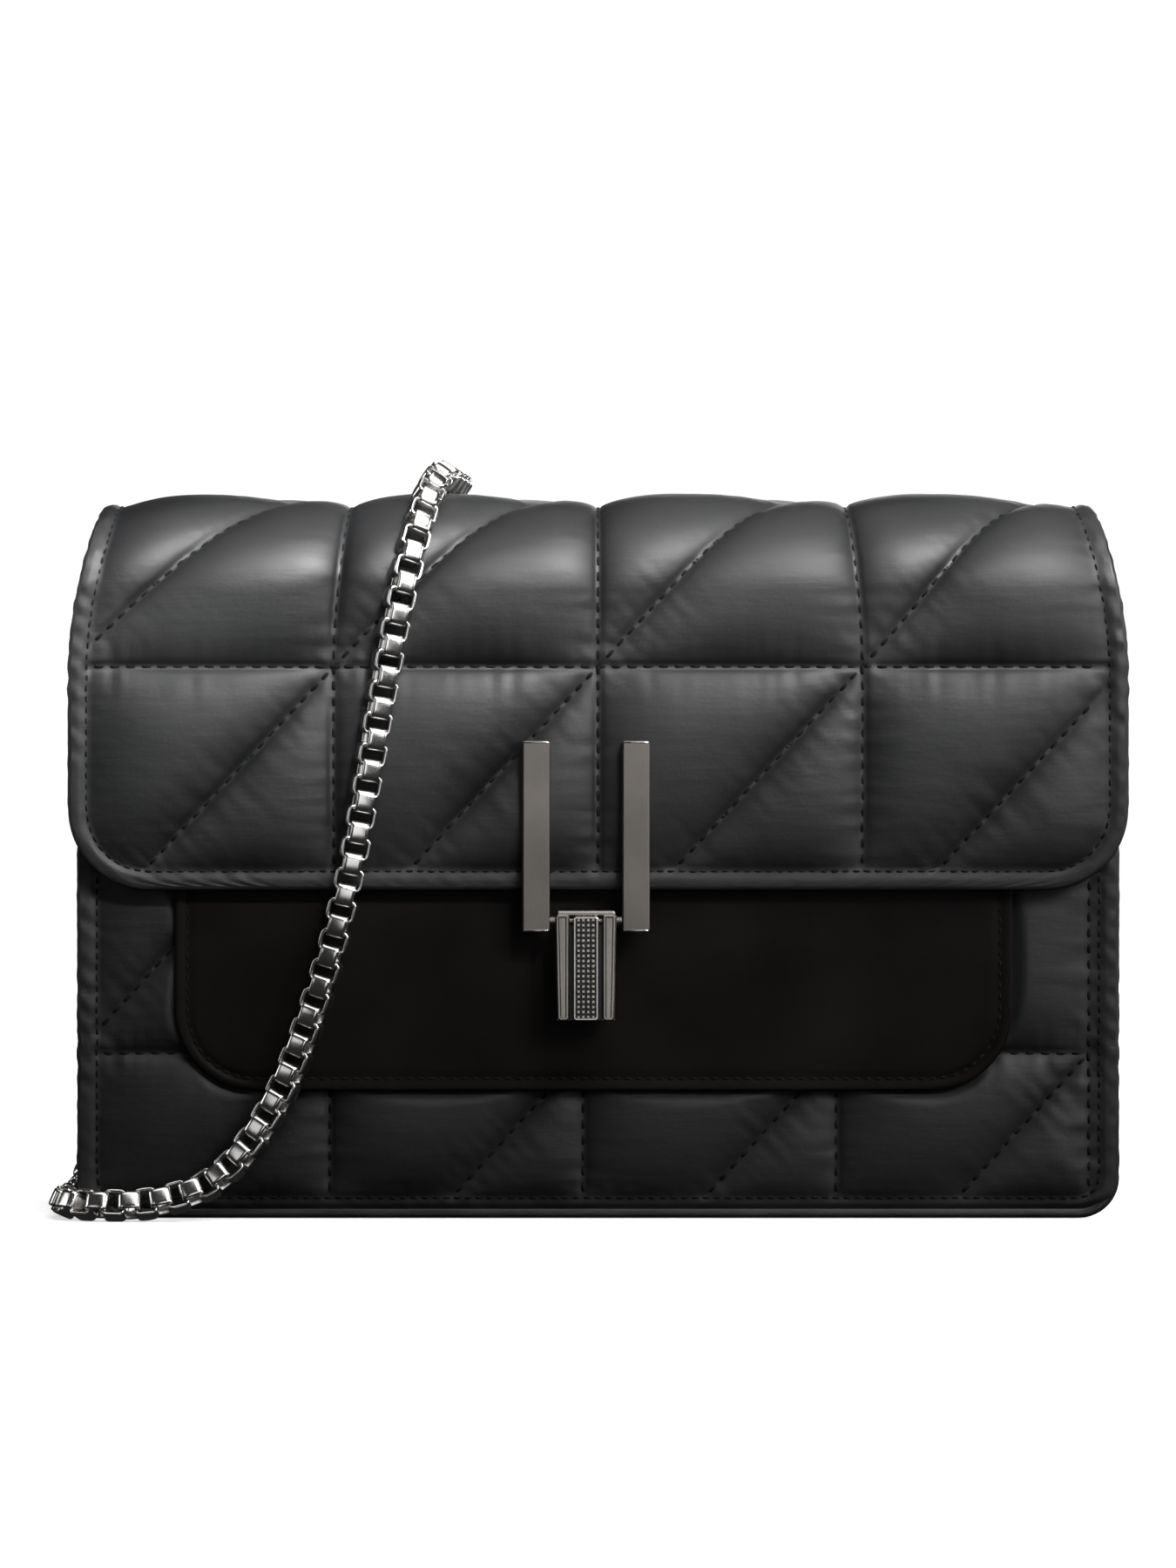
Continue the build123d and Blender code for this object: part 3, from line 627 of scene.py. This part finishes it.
    def seam_lines(self, low, high):
        """Every sewn line as a list of (x, v) places, 1 mm apart, inside the border stitch."""
        (origin_x, origin_v), (width, height) = self.origin, self.cell
        lines = []
        reach = self.half(low + STRAIGHT_ABOVE) + 5
        for i in range(-6, 7):
            x = origin_x + width * i
            lines.append([(x * self.flare(v), v) for v in spread(low, high, int(high - low))])
        for i in range(-5, 6):
            v = origin_v + height * i
            if low < v < high:
                lines.append([(x, v) for x in spread(-reach, reach, int(2 * reach))])
        for i in range(-9, 10):
            shift, slope = origin_x + width * i, width / height
            rows = spread(low, high, int(1.4 * (high - low)))
            lines.append([((shift + (v - origin_v) * slope) * self.flare(v), v) for v in rows])
        inside = [[p for p in line if self.edge_distance(*p) > self.border + 1.0] for line in lines]
        return [run for run in inside if len(run) > 4]


# Pitch, length and thread radius of a stitch; along it, its place, thickness and lift.
BORDER_STITCH = (2.15, 1.55, 0.27)
SEAM_STITCH = (3.1, 2.15, 0.42)
STITCH_SHAPE = ((0, 0.25, -0.7), (0.12, 0.85, 0.1), (0.5, 1.0, 0.5), (0.88, 0.85, 0.1), (1, 0.25, -0.7))


def resample(path, pitch):
    """Points along a path in millimetres, one every pitch."""
    points = [path[0]]
    need = pitch
    for a, b in zip(path, path[1:]):
        length = (b - a).length
        while length >= need > 0:
            a = a.lerp(b, need / length)
            points.append(a)
            length = (b - a).length
            need = pitch
        need -= length
    return points


def halves(row):
    middle = len(row) // 2
    return row[:middle], row[middle:]


def add_stitches(store, path, outward, stitch=BORDER_STITCH):
    """Adds a row of thread stitches to store; path is Vectors, outward the way the face looks."""
    pitch, length, radius = stitch
    places = resample(path, pitch)
    for a, b in zip(places, places[1:]):
        along = (b - a).normalized()
        face = outward(a) if callable(outward) else outward
        side = along.cross(face).normalized()
        points = []
        for t, thick, lift in STITCH_SHAPE:
            centre = a + along * (t * length) + face * (radius * lift)
            for k in range(6):
                turn = math.pi / 3 * k
                spoke = side * math.cos(turn) + face * math.sin(turn)
                points.append(centre + spoke * (radius * thick))
        add_strip(store, points, grid_faces(len(STITCH_SHAPE), 6, wrap=True))


# ---- Flap ----
FLAP_CELL = (52.0, 56.0)
FLAP_ORIGIN = (0.0, 109.0)
FLAP_CORNER = 16.0
LINING_INSET = 1.4
FLAP_SPLIT = FLAP_ORIGIN[1] + FLAP_CELL[1]
FLAP_LAST = ROLL_END + 8.6
TOP_TAPER = 5.9


def flap_surface(x, v, height):
    """The point at x, v along the flap's outer face from its bottom edge over the top, height above it."""
    if v <= ARC_Z:
        return (x, FLAP_FRONT - height, v)
    if v <= ARC_END:
        turn = (v - ARC_Z) / FLAP_ARC
        radius = FLAP_ARC + height
        return (x, ARC_Y - radius * math.cos(turn), ARC_Z + radius * math.sin(turn))
    if v <= ROLL_START:
        return (x, ARC_Y + v - ARC_END, FLAP_TOP + height)
    if v <= ROLL_END:
        turn = (v - ROLL_START) / ROLL
        radius = ROLL + height
        return (x, BACK_ROLL_Y + radius * math.sin(turn), FLAP_TOP - ROLL + radius * math.cos(turn))
    return (x, BACK_ROLL_Y + ROLL + height, FLAP_TOP - ROLL - (v - ROLL_END))


def flap_width(v):
    """Half width of the flap: it narrows a little towards the top and the back."""
    return FLAP_HALF - 0.3 - TOP_TAPER * smoothstep(108, 152, v) + 0.3 * wobble(v / 2.4, 1.0, 2.0)


def bend_front(piece):
    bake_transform(piece)


def bend_back(piece):
    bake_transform(piece)


def all_stitches(quilt, low, high, outward):
    """All stitches of one stretch of a quilted skin: its cell seams and its border line."""
    store = ([], [])
    border = [station[:2] for station in quilt.stations(low, high, 1.0, quilt.border)]
    runs = [(line, SEAM_STITCH) for line in quilt.seam_lines(low, high)]
    if low <= quilt.low + quilt.corner:
        runs.append((border, BORDER_STITCH))
    else:
        runs += [(part, BORDER_STITCH) for part in halves(border)]
    for run, stitch in runs:
        add_stitches(store, [quilt.stitch_place(x, v) for x, v in run], outward, stitch)
    return store


def flap_outward(point):
    """The way the flap's face looks at a point near it."""
    if point.z < ARC_Z and point.y < 0:
        return Vector((0, -1, 0))
    if point.y < ARC_Y:
        return Vector((0, point.y - ARC_Y, point.z - ARC_Z)).normalized()
    if point.y < BACK_ROLL_Y:
        return Vector((0, 0, 1))
    if point.z > FLAP_TOP - ROLL:
        return Vector((0, point.y - BACK_ROLL_Y, point.z - FLAP_TOP + ROLL)).normalized()
    return Vector((0, 1, 0))


FLAP_QUILT = Quilt(
    flap_surface, flap_width, FLAP_BOTTOM, FLAP_LAST, FLAP_CORNER, FLAP_ORIGIN, FLAP_CELL, border=3.7
)
FLAP_EDGE = [
    (-1.9, -1.1), (-1.3, -0.75), (-0.7, -0.72), (-0.25, -0.9), (0.0, -1.25), (-0.1, -1.7), (-0.5, -2.0),
    (-1.2, -2.1), (-1.25, -2.35), (-0.75, -2.45), (-0.4, -2.8), (-0.3, -3.5), (-0.45, -4.2), (-0.9, -4.7),
    (-1.6, -4.8), (-3.0, -4.75),
]
ROLL_EDGE = FLAP_EDGE[:6] + [(-0.7, -2.0), (-2.2, -2.1)]


def lining_sheet(quilt, low, high, depth, inset):
    """The cloth on the inner face, a little slack between its edges."""
    rows = int((high - low) / 2.5) + 2
    columns = 70
    points = []
    for v in spread(low, high, rows):
        half = quilt.outline_half(v, inset)
        for s in spread(-1, 1, columns):
            slack = 0.18 * wobble(s * 5, v / 22.0, 4.0)
            points.append(quilt.surface(s * half, v, -depth + slack))
    return points, grid_faces(rows, columns, flip=True)


def join_sides(quilt, profile, low, high):
    """The rim strip: one run where it passes the bottom, two runs where it doesn't."""
    points, faces = quilt.rim(profile, low, high)
    if low <= quilt.low + quilt.corner:
        return points, faces
    count = len(points) // len(profile)
    row = len(profile) - 1
    middle = (count // 2 - 1) * row
    return points, faces[:middle] + faces[middle + row:]


def make_flap():
    parts = (
        ("flap_front", FLAP_BOTTOM, FLAP_SPLIT, bend_front),
        ("flap_top", FLAP_SPLIT, FLAP_LAST, bend_back),
    )
    for name, low, high, bend in parts:
        first = name == "flap_front"
        skin = link(f"{name}_skin", FLAP_QUILT.skin(low + 0.8 * first, high), None, HIDE)
        edge_high = high if first else ROLL_START
        store = ([], [])
        add_strip(store, *join_sides(FLAP_QUILT, FLAP_EDGE, low, edge_high))
        if not first:
            add_strip(store, *join_sides(FLAP_QUILT, ROLL_EDGE, edge_high, high))
        rim = link(f"{name}_edge", store, None, EDGE)
        threads = all_stitches(FLAP_QUILT, low, high - 0.4, flap_outward)
        stitches = link(f"{name}_stitches", threads, None, THREAD)
        inner_low = low + 1.6 if first else low
        inner_high = high if first else ROLL_START - 5.0
        lining = lining_sheet(FLAP_QUILT, inner_low, inner_high, FLAP_DEPTH - 0.15, LINING_INSET)
        inner = link(f"{name}_cloth", lining, None, CLOTH)
        above_corner = inner_low + FLAP_CORNER + 4
        widest = 2 * max(FLAP_QUILT.outline_half(v, LINING_INSET) for v in (above_corner, inner_high))
        for piece in (skin, rim, stitches, inner):
            bend(piece)
        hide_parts(f"{name}_quilt", "front_fold_roll" if first else "back_fold_roll")
        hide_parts(f"{name}_lining")
        if first:
            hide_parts("flap_binding")


make_flap()


# ---- Body ----
BODY_CELL = (50.0, 55.0)
BODY_HALF = box_mm("front_binding")[1][0]
BACK_HALF = box_mm("back_binding")[1][0]
BODY_TOP = panel_high[2]
PANEL_CORNER = 8.0
PANEL_EDGE = [
    (-1.8, -1.1), (-1.2, -0.75), (-0.65, -0.72), (-0.2, -0.9), (0.0, -1.3), (-0.1, -1.9), (-0.5, -2.4),
    (-1.1, -2.5), (-1.1, -2.8), (-0.6, -3.0), (-0.35, -3.5), (-0.4, -4.3), (-0.8, -4.9), (-1.6, -5.0),
    (-7.2, -5.0),
]
MOUTH_TAPER = 3.4
BOTTOM_HEM = 1.3
LINING_CORNER = 6.0
LOCK_CORNER = 16.0
LOCK_MIDDLE = (lock_low[0] + lock_high[0]) / 2
LOCK_HALF = (lock_high[0] - lock_low[0]) / 2
LOCK_STITCH = 2.5


def front_surface(x, v, height):
    return (x, BODY_FRONT - height, v)


def body_width(v):
    """Half width of the front panel, which draws in under the flap."""
    return BODY_HALF - 0.3 - MOUTH_TAPER * smoothstep(92, 128, v) + 0.25 * wobble(v / 2.6, 4.0, 2.0)


def back_surface(x, v, height):
    return (-x, BODY_BACK + height, v)


def lock_surface(x, v, height):
    return (x + LOCK_MIDDLE, lock_low[1] - height, v)


class SmoothPanel(Quilt):
    """A flat leather panel: a raised turned edge, a stitch groove inside it, and a faint unevenness."""

    def height(self, x, v):
        edge = self.edge_distance(x, v)
        groove = -0.32 * math.exp(-((edge - LOCK_STITCH) / 0.55) ** 2)
        bead = 0.16 * math.exp(-((edge - 1.1) / 0.8) ** 2)
        wave = 0.10 * wobble(x / 21.0, v / 17.0, 1.0) * smoothstep(2, 14, edge)
        return groove + bead + wave


LOCK_PANEL = SmoothPanel(
    lock_surface, lambda v: LOCK_HALF, lock_low[2], lock_high[2], LOCK_CORNER, (0, 0), (50, 50)
)
LOCK_EDGE = [
    (-0.7, -0.05), (-0.3, -0.12), (-0.05, -0.45), (0.0, -0.9), (0.0, -1.5), (-0.25, -2.4), (-0.6, -3.0),
]


def lock_press(x, v):
    """The highest the front quilting may stand: the lock panel holds it down."""
    return 0.1 + 0.55 * max(-LOCK_PANEL.edge_distance(x - LOCK_MIDDLE, v), 0.0)


FRONT_QUILT = Quilt(
    front_surface, body_width, 0.0, BODY_TOP, PANEL_CORNER, (-3.0, 32.6), BODY_CELL, press=lock_press,
    hem=BOTTOM_HEM,
)
BACK_QUILT = Quilt(
    back_surface, lambda v: BACK_HALF, 0.0, BODY_TOP + 0.9, PANEL_CORNER, (0.0, BODY_TOP + 0.9), BODY_CELL,
    step=1.0, hem=BOTTOM_HEM,
)
FRONTWARD = Vector((0, -1, 0))
BACKWARD = Vector((0, 1, 0))


def sew(name, rows):
    """Thread on the bag along rows of (path, outward) pairs."""
    threads = ([], [])
    for row in rows:
        add_stitches(threads, *row)
    link(name, threads, "bag", THREAD)


def make_body_panel(name, quilt, outward, panel, binding):
    skin = link(f"{name}_skin", quilt.skin(0.8, quilt.high), "bag", HIDE, instead_of=[panel])
    rim = quilt.rim(PANEL_EDGE, quilt.low, quilt.high)
    link(f"{name}_edge", rim, "bag", EDGE, instead_of=[binding])
    threads = all_stitches(quilt, quilt.low, quilt.high - 0.6, outward)
    link(f"{name}_stitches", threads, "bag", THREAD)


def make_lock_panel():
    low, high = LOCK_PANEL.low, LOCK_PANEL.high
    store = ([], [])
    add_strip(store, *LOCK_PANEL.skin(low + 0.5, high, inset=0.5))
    add_strip(store, *LOCK_PANEL.rim(LOCK_EDGE, low, high))
    link("lock_panel_hide", store, "bag", SMOOTH_HIDE, instead_of=["lock_panel"])
    run = LOCK_PANEL.stations(low, high, 1.0, LOCK_STITCH)
    sew("lock_panel_stitches", [([LOCK_PANEL.stitch_place(x, v) for x, v, *_ in run], FRONTWARD)])


def band(profile, low_x, high_x, columns=120, waver=0.0):
    """A strip along x with a section of (y, z) points."""
    points = []
    for x in spread(low_x, high_x, columns):
        lift = waver * wobble(x / 6.0, 3.0, 1.0)
        points += [(x, y, z + lift) for y, z in profile]
    return points, grid_faces(columns, len(profile))


def make_mouth():
    """Turned edges over the top of the front panel, and the flap's hide where it meets the lining behind."""
    front = BODY_FRONT
    inside = lining_low[1]
    over = [(front - 0.25, BODY_TOP - 6), (front - 0.5, BODY_TOP - 3), (front - 0.5, BODY_TOP - 0.6),
            (front + 0.1, BODY_TOP + 0.35), (front + 1.6, BODY_TOP + 0.7), (inside - 1.6, BODY_TOP + 0.6),
            (inside - 0.5, BODY_TOP), (inside - 0.1, BODY_TOP - 1.5), (inside, BODY_TOP - 7)]
    store = ([], [])
    reach = body_width(BODY_TOP) - 0.4
    add_strip(store, *band(over, -reach, reach, waver=0.12))
    outside = lining_high[1]
    behind = [(outside - 0.2, BODY_TOP - 8), (outside, BODY_TOP - 0.5), (outside + 0.8, BODY_TOP + 0.5),
              (BODY_BACK - 1.2, BODY_TOP + 0.7), (BODY_BACK - 0.4, BODY_TOP - 0.4)]
    reach = BACK_HALF - 0.6
    add_strip(store, *band(behind, -reach, reach, waver=0.12))
    link("mouth_edges", store, "bag", PLAIN_HIDE)
    row = [Vector((x, front - 0.5, BODY_TOP - 3)) for x in spread(-reach, reach, 200)]
    sew("mouth_stitches", [(row, FRONTWARD)])


def make_hinge_cloth():
    """The lining that runs from inside the back of the bag up to the flap."""
    under = FLAP_TOP - FLAP_DEPTH
    section = [(24.4, 125.0), (24.9, 129.0), (25.4, 132.5), (25.6, 134.4), (25.2, 135.8), (24.3, under - 0.6),
               (22.9, under - 0.15), (20.5, under - 0.1), (17.5, under - 0.05)]
    reach = BACK_HALF - 1.5
    hinge = link("hinge_cloth", band(section, -reach, reach, 90, 0.1), None, CLOTH)
    bend_back(hinge)


def make_gusset():
    """The strip round the sides and the base, drawn in between its sewn edges, hemmed at each top."""
    half = gusset_high[0]
    outline = Quilt(front_surface, lambda v: half, 0.0, gusset_high[2], PANEL_CORNER, (0, 0), (50, 50))
    run = outline.stations(0.0, gusset_high[2], 2.0)
    across = spread(gusset_low[1], gusset_high[1], 44)
    edge = gusset_high[1]
    points = []
    for x, v, out_x, out_v in run:
        for y in across:
            waist = 1 - (y / edge) ** 2
            crease = wobble(v / 9.0 + x / 40.0, y / 14.0, 6.0)
            drawn = (0.35 * waist + 0.35 * crease * waist) * smoothstep(112, 92, v) + 0.02
            points.append((x - out_x * drawn, y, max(v - out_v * drawn, 0.02)))
    store = (points, grid_faces(len(run), len(across), flip=True))
    hem = [(0.25, -5.0), (0.45, -2.0), (0.35, -0.2), (-0.3, 0.4), (-1.2, 0.45), (-2.2, 0.1), (-2.7, -1.0),
           (-2.8, -6.0)]
    for side in SIDES.values():
        rolled = [(side * (half + out), y, gusset_high[2] + up) for y in across for out, up in hem]
        add_strip(store, rolled, grid_faces(len(across), len(hem), flip=side < 0))
    link("gusset_hide", store, "bag", PLAIN_HIDE, instead_of=["gusset_strip"])

    rows = []
    for side in SIDES.values():
        hem_z = gusset_high[2] - 3.0
        sewn = list(halves([Vector((side * (half + 0.42), y, hem_z)) for y in across if abs(y) > 8]))
        for y in (gusset_low[1] + 1.6, gusset_high[1] - 1.6):
            sewn.append([Vector((side * half, y, z)) for z in spread(12, gusset_high[2] - 5, 110)])
        rows += [(row, Vector((side, 0, 0))) for row in sewn]
    sew("gusset_stitches", rows)


def make_lining():
    """The cloth bag inside, slack between its corners."""
    half_x, half_y = lining_high[0] - 0.5, lining_high[1] - 0.5
    floor_z, top = lining_low[2] + 0.5, lining_high[2]
    turns = 6
    outline = rounded(-half_x, half_x, -half_y, half_y, LINING_CORNER, turns)
    closed = outline[turns + 1:] + outline[:turns + 2]
    ring = resample([Vector((x, y, 0)) for x, y in closed], 3.0)
    rows = spread(floor_z, top, 40)
    points = []
    for z in rows:
        foot = smoothstep(floor_z + 7, floor_z, z)
        for p in ring:
            slack = 0.35 * wobble(p.x / 17, p.y / 17, z / 26) - 0.25
            grow = 1 + (slack - 3.5 * foot) / max(abs(p.x), abs(p.y), 20)
            points.append((p.x * grow, p.y * grow, z))
    faces = grid_faces(len(rows), len(ring), wrap=True)
    faces.append(tuple(range(len(ring)))[::-1])
    store = (points, faces)
    cloth_bag = link("lining_cloth", store, "bag", CLOTH, instead_of=["lining"])


def make_pocket():
    """The slip pocket on the lining's back wall, a little full, with a hem along its top."""
    low, high = box_mm("slip_pocket")
    wall = lining_high[1] - 0.8
    columns, rows = 60, 26
    sheet = []
    for z in spread(low[2], high[2], rows):
        for x in spread(low[0], high[0], columns):
            gap = min(x - low[0], high[0] - x, z - low[2])
            ripple = 0.25 * wobble(x / 13.0, z / 13.0, 8.0) * smoothstep(0, 8, gap)
            sheet.append((x, wall - 1.5 * smoothstep(0, 12, gap) - ripple, z))
    store = (sheet, grid_faces(rows, columns))
    top = high[2]
    hem = [(wall - 1.9, top - 4.5), (wall - 2.05, top - 1), (wall - 1.7, top + 0.2), (wall - 1.2, top - 0.8),
           (wall - 1.2, top - 5)]
    add_strip(store, *band(hem, low[0] + 4, high[0] - 4, 50))
    pocket = link("pocket_cloth", store, "bag", CLOTH, instead_of=["slip_pocket"])


make_body_panel("front_quilt", FRONT_QUILT, FRONTWARD, "front_panel", "front_binding")
make_body_panel("back_quilt", BACK_QUILT, BACKWARD, "back_panel", "back_binding")
make_lock_panel()
make_mouth()
make_hinge_cloth()
make_gusset()
make_lining()
make_pocket()


# ---- Lock details ----
lever_low, lever_high = box_mm("latch_frame")
insert_low, insert_high = box_mm("latch_insert")
LEVER_MIDDLE = (lever_low[0] + lever_high[0]) / 2
SLOT_HALF = 3.2
LEVER_TAPER = 0.4
GRID_COLUMNS = 4
GRID_PITCH = 1.0
STUD_FOOT = 0.74
STUD_HEAD = 0.42
STUD_RISE = 0.30


def inset(outline, distance):
    """A convex outline, anticlockwise, with every side moved inwards by distance."""
    moved = []
    count = len(outline)
    for i, corner in enumerate(outline):
        here = Vector(corner)
        before = (here - Vector(outline[i - 1])).normalized()
        after = (Vector(outline[(i + 1) % count]) - here).normalized()
        inward = Vector((-before.y - after.y, before.x + after.x)).normalized()
        half_angle = max(abs(inward.dot(Vector((-after.y, after.x)))), 0.2)
        moved.append(tuple(here + inward * (distance / half_angle)))
    return moved


def prism(store, outline, back, front, steps):
    """A solid from an outline in XZ; steps lists (inset, rise) rings that shape its front edges."""
    rings = [(outline, back)] + [(inset(outline, d), front - rise) for d, rise in steps]
    count = len(outline)
    points = [(x, y, z) for ring, y in rings for x, z in ring]
    faces = grid_faces(len(rings), count, wrap=True)
    faces.append(tuple(range(len(points) - count, len(points))))
    faces.append(tuple(range(count))[::-1])
    add_strip(store, points, faces)


def make_bars():
    """The two flat bars with soft long edges and a polished bevel at each end."""
    for side in SIDES:
        node = f"lock_bar_{side}"
        low, high = box_mm(node)
        store = ([], [])
        outline = rounded(low[0], high[0], low[2], high[2], 0.45, 3)
        prism(store, outline, high[1], low[1], [(0, -0.45), (0.12, -0.18), (0.38, 0)])
        link(f"bar_{side}", store, "flap_front", BRUSHED, smooth=False, instead_of=[node])
        tips = ([], [])
        for z, up in ((low[2], -1), (high[2], 1)):
            first, last = sorted((z + up * 0.02, z - up * 0.55))
            tip = rounded(low[0] + 0.25, high[0] - 0.25, first, last, 0.2, 3)
            prism(tips, tip, low[1] + 0.6, low[1] - 0.03, [(0, -0.12), (0.14, 0)])
        link(f"bar_tips_{side}", tips, "flap_front", POLISHED)


def make_lever():
    """The lever: a back plate, two tapered rails and a rounded bridge over the pin."""
    store = ([], [])
    front, back = lever_low[1], lever_high[1]
    low, high = lever_low[2], lever_high[2]
    middle, half = LEVER_MIDDLE, (lever_high[0] - lever_low[0]) / 2
    floor = front + 2.0
    plate = [(middle - half + LEVER_TAPER, low + 0.1), (middle + half - LEVER_TAPER, low + 0.1),
             (middle + half, high - 1.4), (middle - half, high - 1.4)]
    prism(store, plate, back, floor, [(0, -0.1), (0.1, 0)])
    for side in SIDES.values():
        foot = middle + side * (half - LEVER_TAPER)
        head = middle + side * half
        inner = middle + side * SLOT_HALF
        rail = [(foot - side * 0.5, low), (foot, low + 0.5), (head, high - 1.2),
                (head - side * 0.5, high - 0.7), (inner, high - 0.7), (inner, low + 0.5),
                (inner + side * 0.5, low)]
        rail = rail if side > 0 else rail[::-1]
        prism(store, rail, floor + 0.2, front, [(0, -0.5), (0.1, -0.15), (0.34, 0), (0.62, 0), (0.85, -0.28)])
    bridge = rounded(middle - half + 0.1, middle + half - 0.1, high - 1.5, high, 0.7)
    prism(store, bridge, back, front, [(0, -0.9), (0.2, -0.3), (0.55, -0.05)])
    link("lever", store, "latch", RAIL_METAL, smooth=False, instead_of=["latch_frame"])

    # Dark blocks that fill the slots between the rails and the insert: painted shade in place of the shadow
    # in these recesses.
    slot = ([], [])
    for side in SIDES.values():
        near, far = sorted((middle + side * 2.35, middle + side * (SLOT_HALF + 0.05)))
        gap = [(near, low + 0.2), (far, low + 0.2), (far, high - 1.5), (near, high - 1.5)]
        prism(slot, gap, floor, floor - 1.0, [(0, 0)])
    link("lever_gap_shade", slot, "latch", EDGE, smooth=False)


def make_insert():
    """The lever's insert: a plate with a polished rim round rows of small square studs."""
    front = insert_low[1]
    half = (insert_high[0] - insert_low[0]) / 2
    low, high = lever_low[2] + 0.1, lever_high[2] - 1.2
    outline = rounded(LEVER_MIDDLE - half, LEVER_MIDDLE + half, low, high, 0.7)
    store = ([], [])
    rim = [(0, -0.3), (0.08, -0.05), (0.2, 0), (0.42, 0), (0.5, -0.1), (0.52, -0.35)]
    prism(store, outline, front + 1.4, front, rim)
    link("insert_plate", store, "latch", POLISHED, smooth=False, instead_of=["latch_insert"])

    # A dark sheet under the studs: painted shade that stands in for the shadow between them.
    field = ([], [])
    bed = rounded(LEVER_MIDDLE - half + 0.5, LEVER_MIDDLE + half - 0.5, low + 0.5, high - 0.5, 0.2, 2)
    prism(field, bed, front + 0.5, front + 0.31, [(0, 0)])
    link("insert_bed_shade", field, "latch", EDGE, smooth=False)

    rows = int((high - low - 1.3) / GRID_PITCH) + 1
    studs = ([], [])
    for row in range(rows):
        for column in range(GRID_COLUMNS):
            x = LEVER_MIDDLE + (column - (GRID_COLUMNS - 1) / 2) * GRID_PITCH * 0.96
            z = (low + high) / 2 + (row - (rows - 1) / 2) * GRID_PITCH
            points = []
            for size, rise in ((STUD_FOOT, -0.1), (STUD_FOOT, 0.04), (STUD_HEAD, STUD_RISE)):
                for sx, sz in ((-1, -1), (1, -1), (1, 1), (-1, 1)):
                    points.append((x + sx * size / 2, front + 0.31 - rise, z + sz * size / 2))
            add_strip(studs, points, grid_faces(3, 4, wrap=True) + [(8, 9, 10, 11)])
    link("insert_studs", studs, "latch", GRIP, smooth=False)


make_bars()
make_lever()
make_insert()


# ---- Light and surroundings ----
# Name, place, target and size in metres, power in watts, and spread in degrees where it isn't 180.
LAMPS = (
    ("key", (0.45, -0.62, 1.00), (0, 0, 0.10), (0.8, 0.4), 6.5),
    ("top", (0.1, -0.10, 1.25), (0, 0, 0), (1.6, 1.0), 9.0),
    ("front", (0.13, -1.50, 0.14), (0, 0, 0.09), (0.7, 0.6), 1.6),
    ("grid", (0.20, -0.54, 0.49), (0.04, -0.037, 0.222), (0.9, 0.15), 2.9, 17),
    ("low", (0.42, -0.55, 0.36), (0.10, -0.03, 0.06), (0.3, 0.2), 0.13, 26),
    ("right", (1.4, -0.20, 0.45), (0, 0, 0.07), (0.8, 0.7), 8.0),
    ("left", (-1.5, 0.15, 0.45), (0, 0, 0.07), (0.8, 0.7), 4.0),
    ("wing_left", (-0.95, -1.05, 0.42), (0, 0, 0.08), (0.5, 0.5), 0.7),
    ("wing_right", (0.95, -1.05, 0.42), (0, 0, 0.08), (0.5, 0.5), 1.4),
    ("back", (0.3, 1.5, 0.5), (0, 0, 0.07), (0.8, 0.7), 9.0),
)


def area_light(name, place, target, size, power, spread_angle=180):
    data = bpy.data.lights.new(name, "AREA")
    data.shape = "RECTANGLE"
    data.size, data.size_y = size
    data.energy = power
    data.spread = math.radians(spread_angle)
    lamp = show(name, data)
    lamp.location = place
    lamp.rotation_euler = (Vector(target) - Vector(place)).to_track_quat("-Z", "Y").to_euler()


def surroundings():
    world = bpy.data.worlds.new("studio")
    bpy.context.scene.world = world
    world.use_nodes = True
    tree = world.node_tree
    back = tree.nodes["Background"]
    ray = tree.nodes.new("ShaderNodeLightPath")
    strength = tree.nodes.new("ShaderNodeMapRange")
    strength.inputs["To Min"].default_value = 0.02
    strength.inputs["To Max"].default_value = 1.05
    tree.links.new(ray.outputs["Is Camera Ray"], strength.inputs["Value"])
    tree.links.new(strength.outputs["Result"], back.inputs["Strength"])
    back.inputs["Color"].default_value = (1, 1, 1, 1)

    floor = Nodes("pale_floor", Roughness=0.9, Specular_IOR_Level=0.1)
    floor.feed("Base Color", (0.92, 0.92, 0.92, 1))
    floor.feed("Emission Color", (1, 1, 1, 1))
    where = floor.add("ShaderNodeTexCoord").outputs["Object"]
    away = floor.add("ShaderNodeVectorMath", {0: where}, operation="LENGTH").outputs["Value"]
    floor.feed("Emission Strength", floor.ranged(away, 0.55, 1.05, 0.2, 0.6))
    corners = [(x * 8000.0, y * 8000.0, -0.15) for x, y in ((-1, -1), (1, -1), (1, 1), (-1, 1))]
    plane = show("floor", mesh_from("floor", corners, [(0, 1, 2, 3)], smooth=False))
    plane.data.materials.append(floor.material)
    plane.visible_glossy = False
    plane.visible_diffuse = False

    for lamp in LAMPS:
        area_light(*lamp)
    bpy.context.scene.view_settings.view_transform = "Standard"


surroundings()
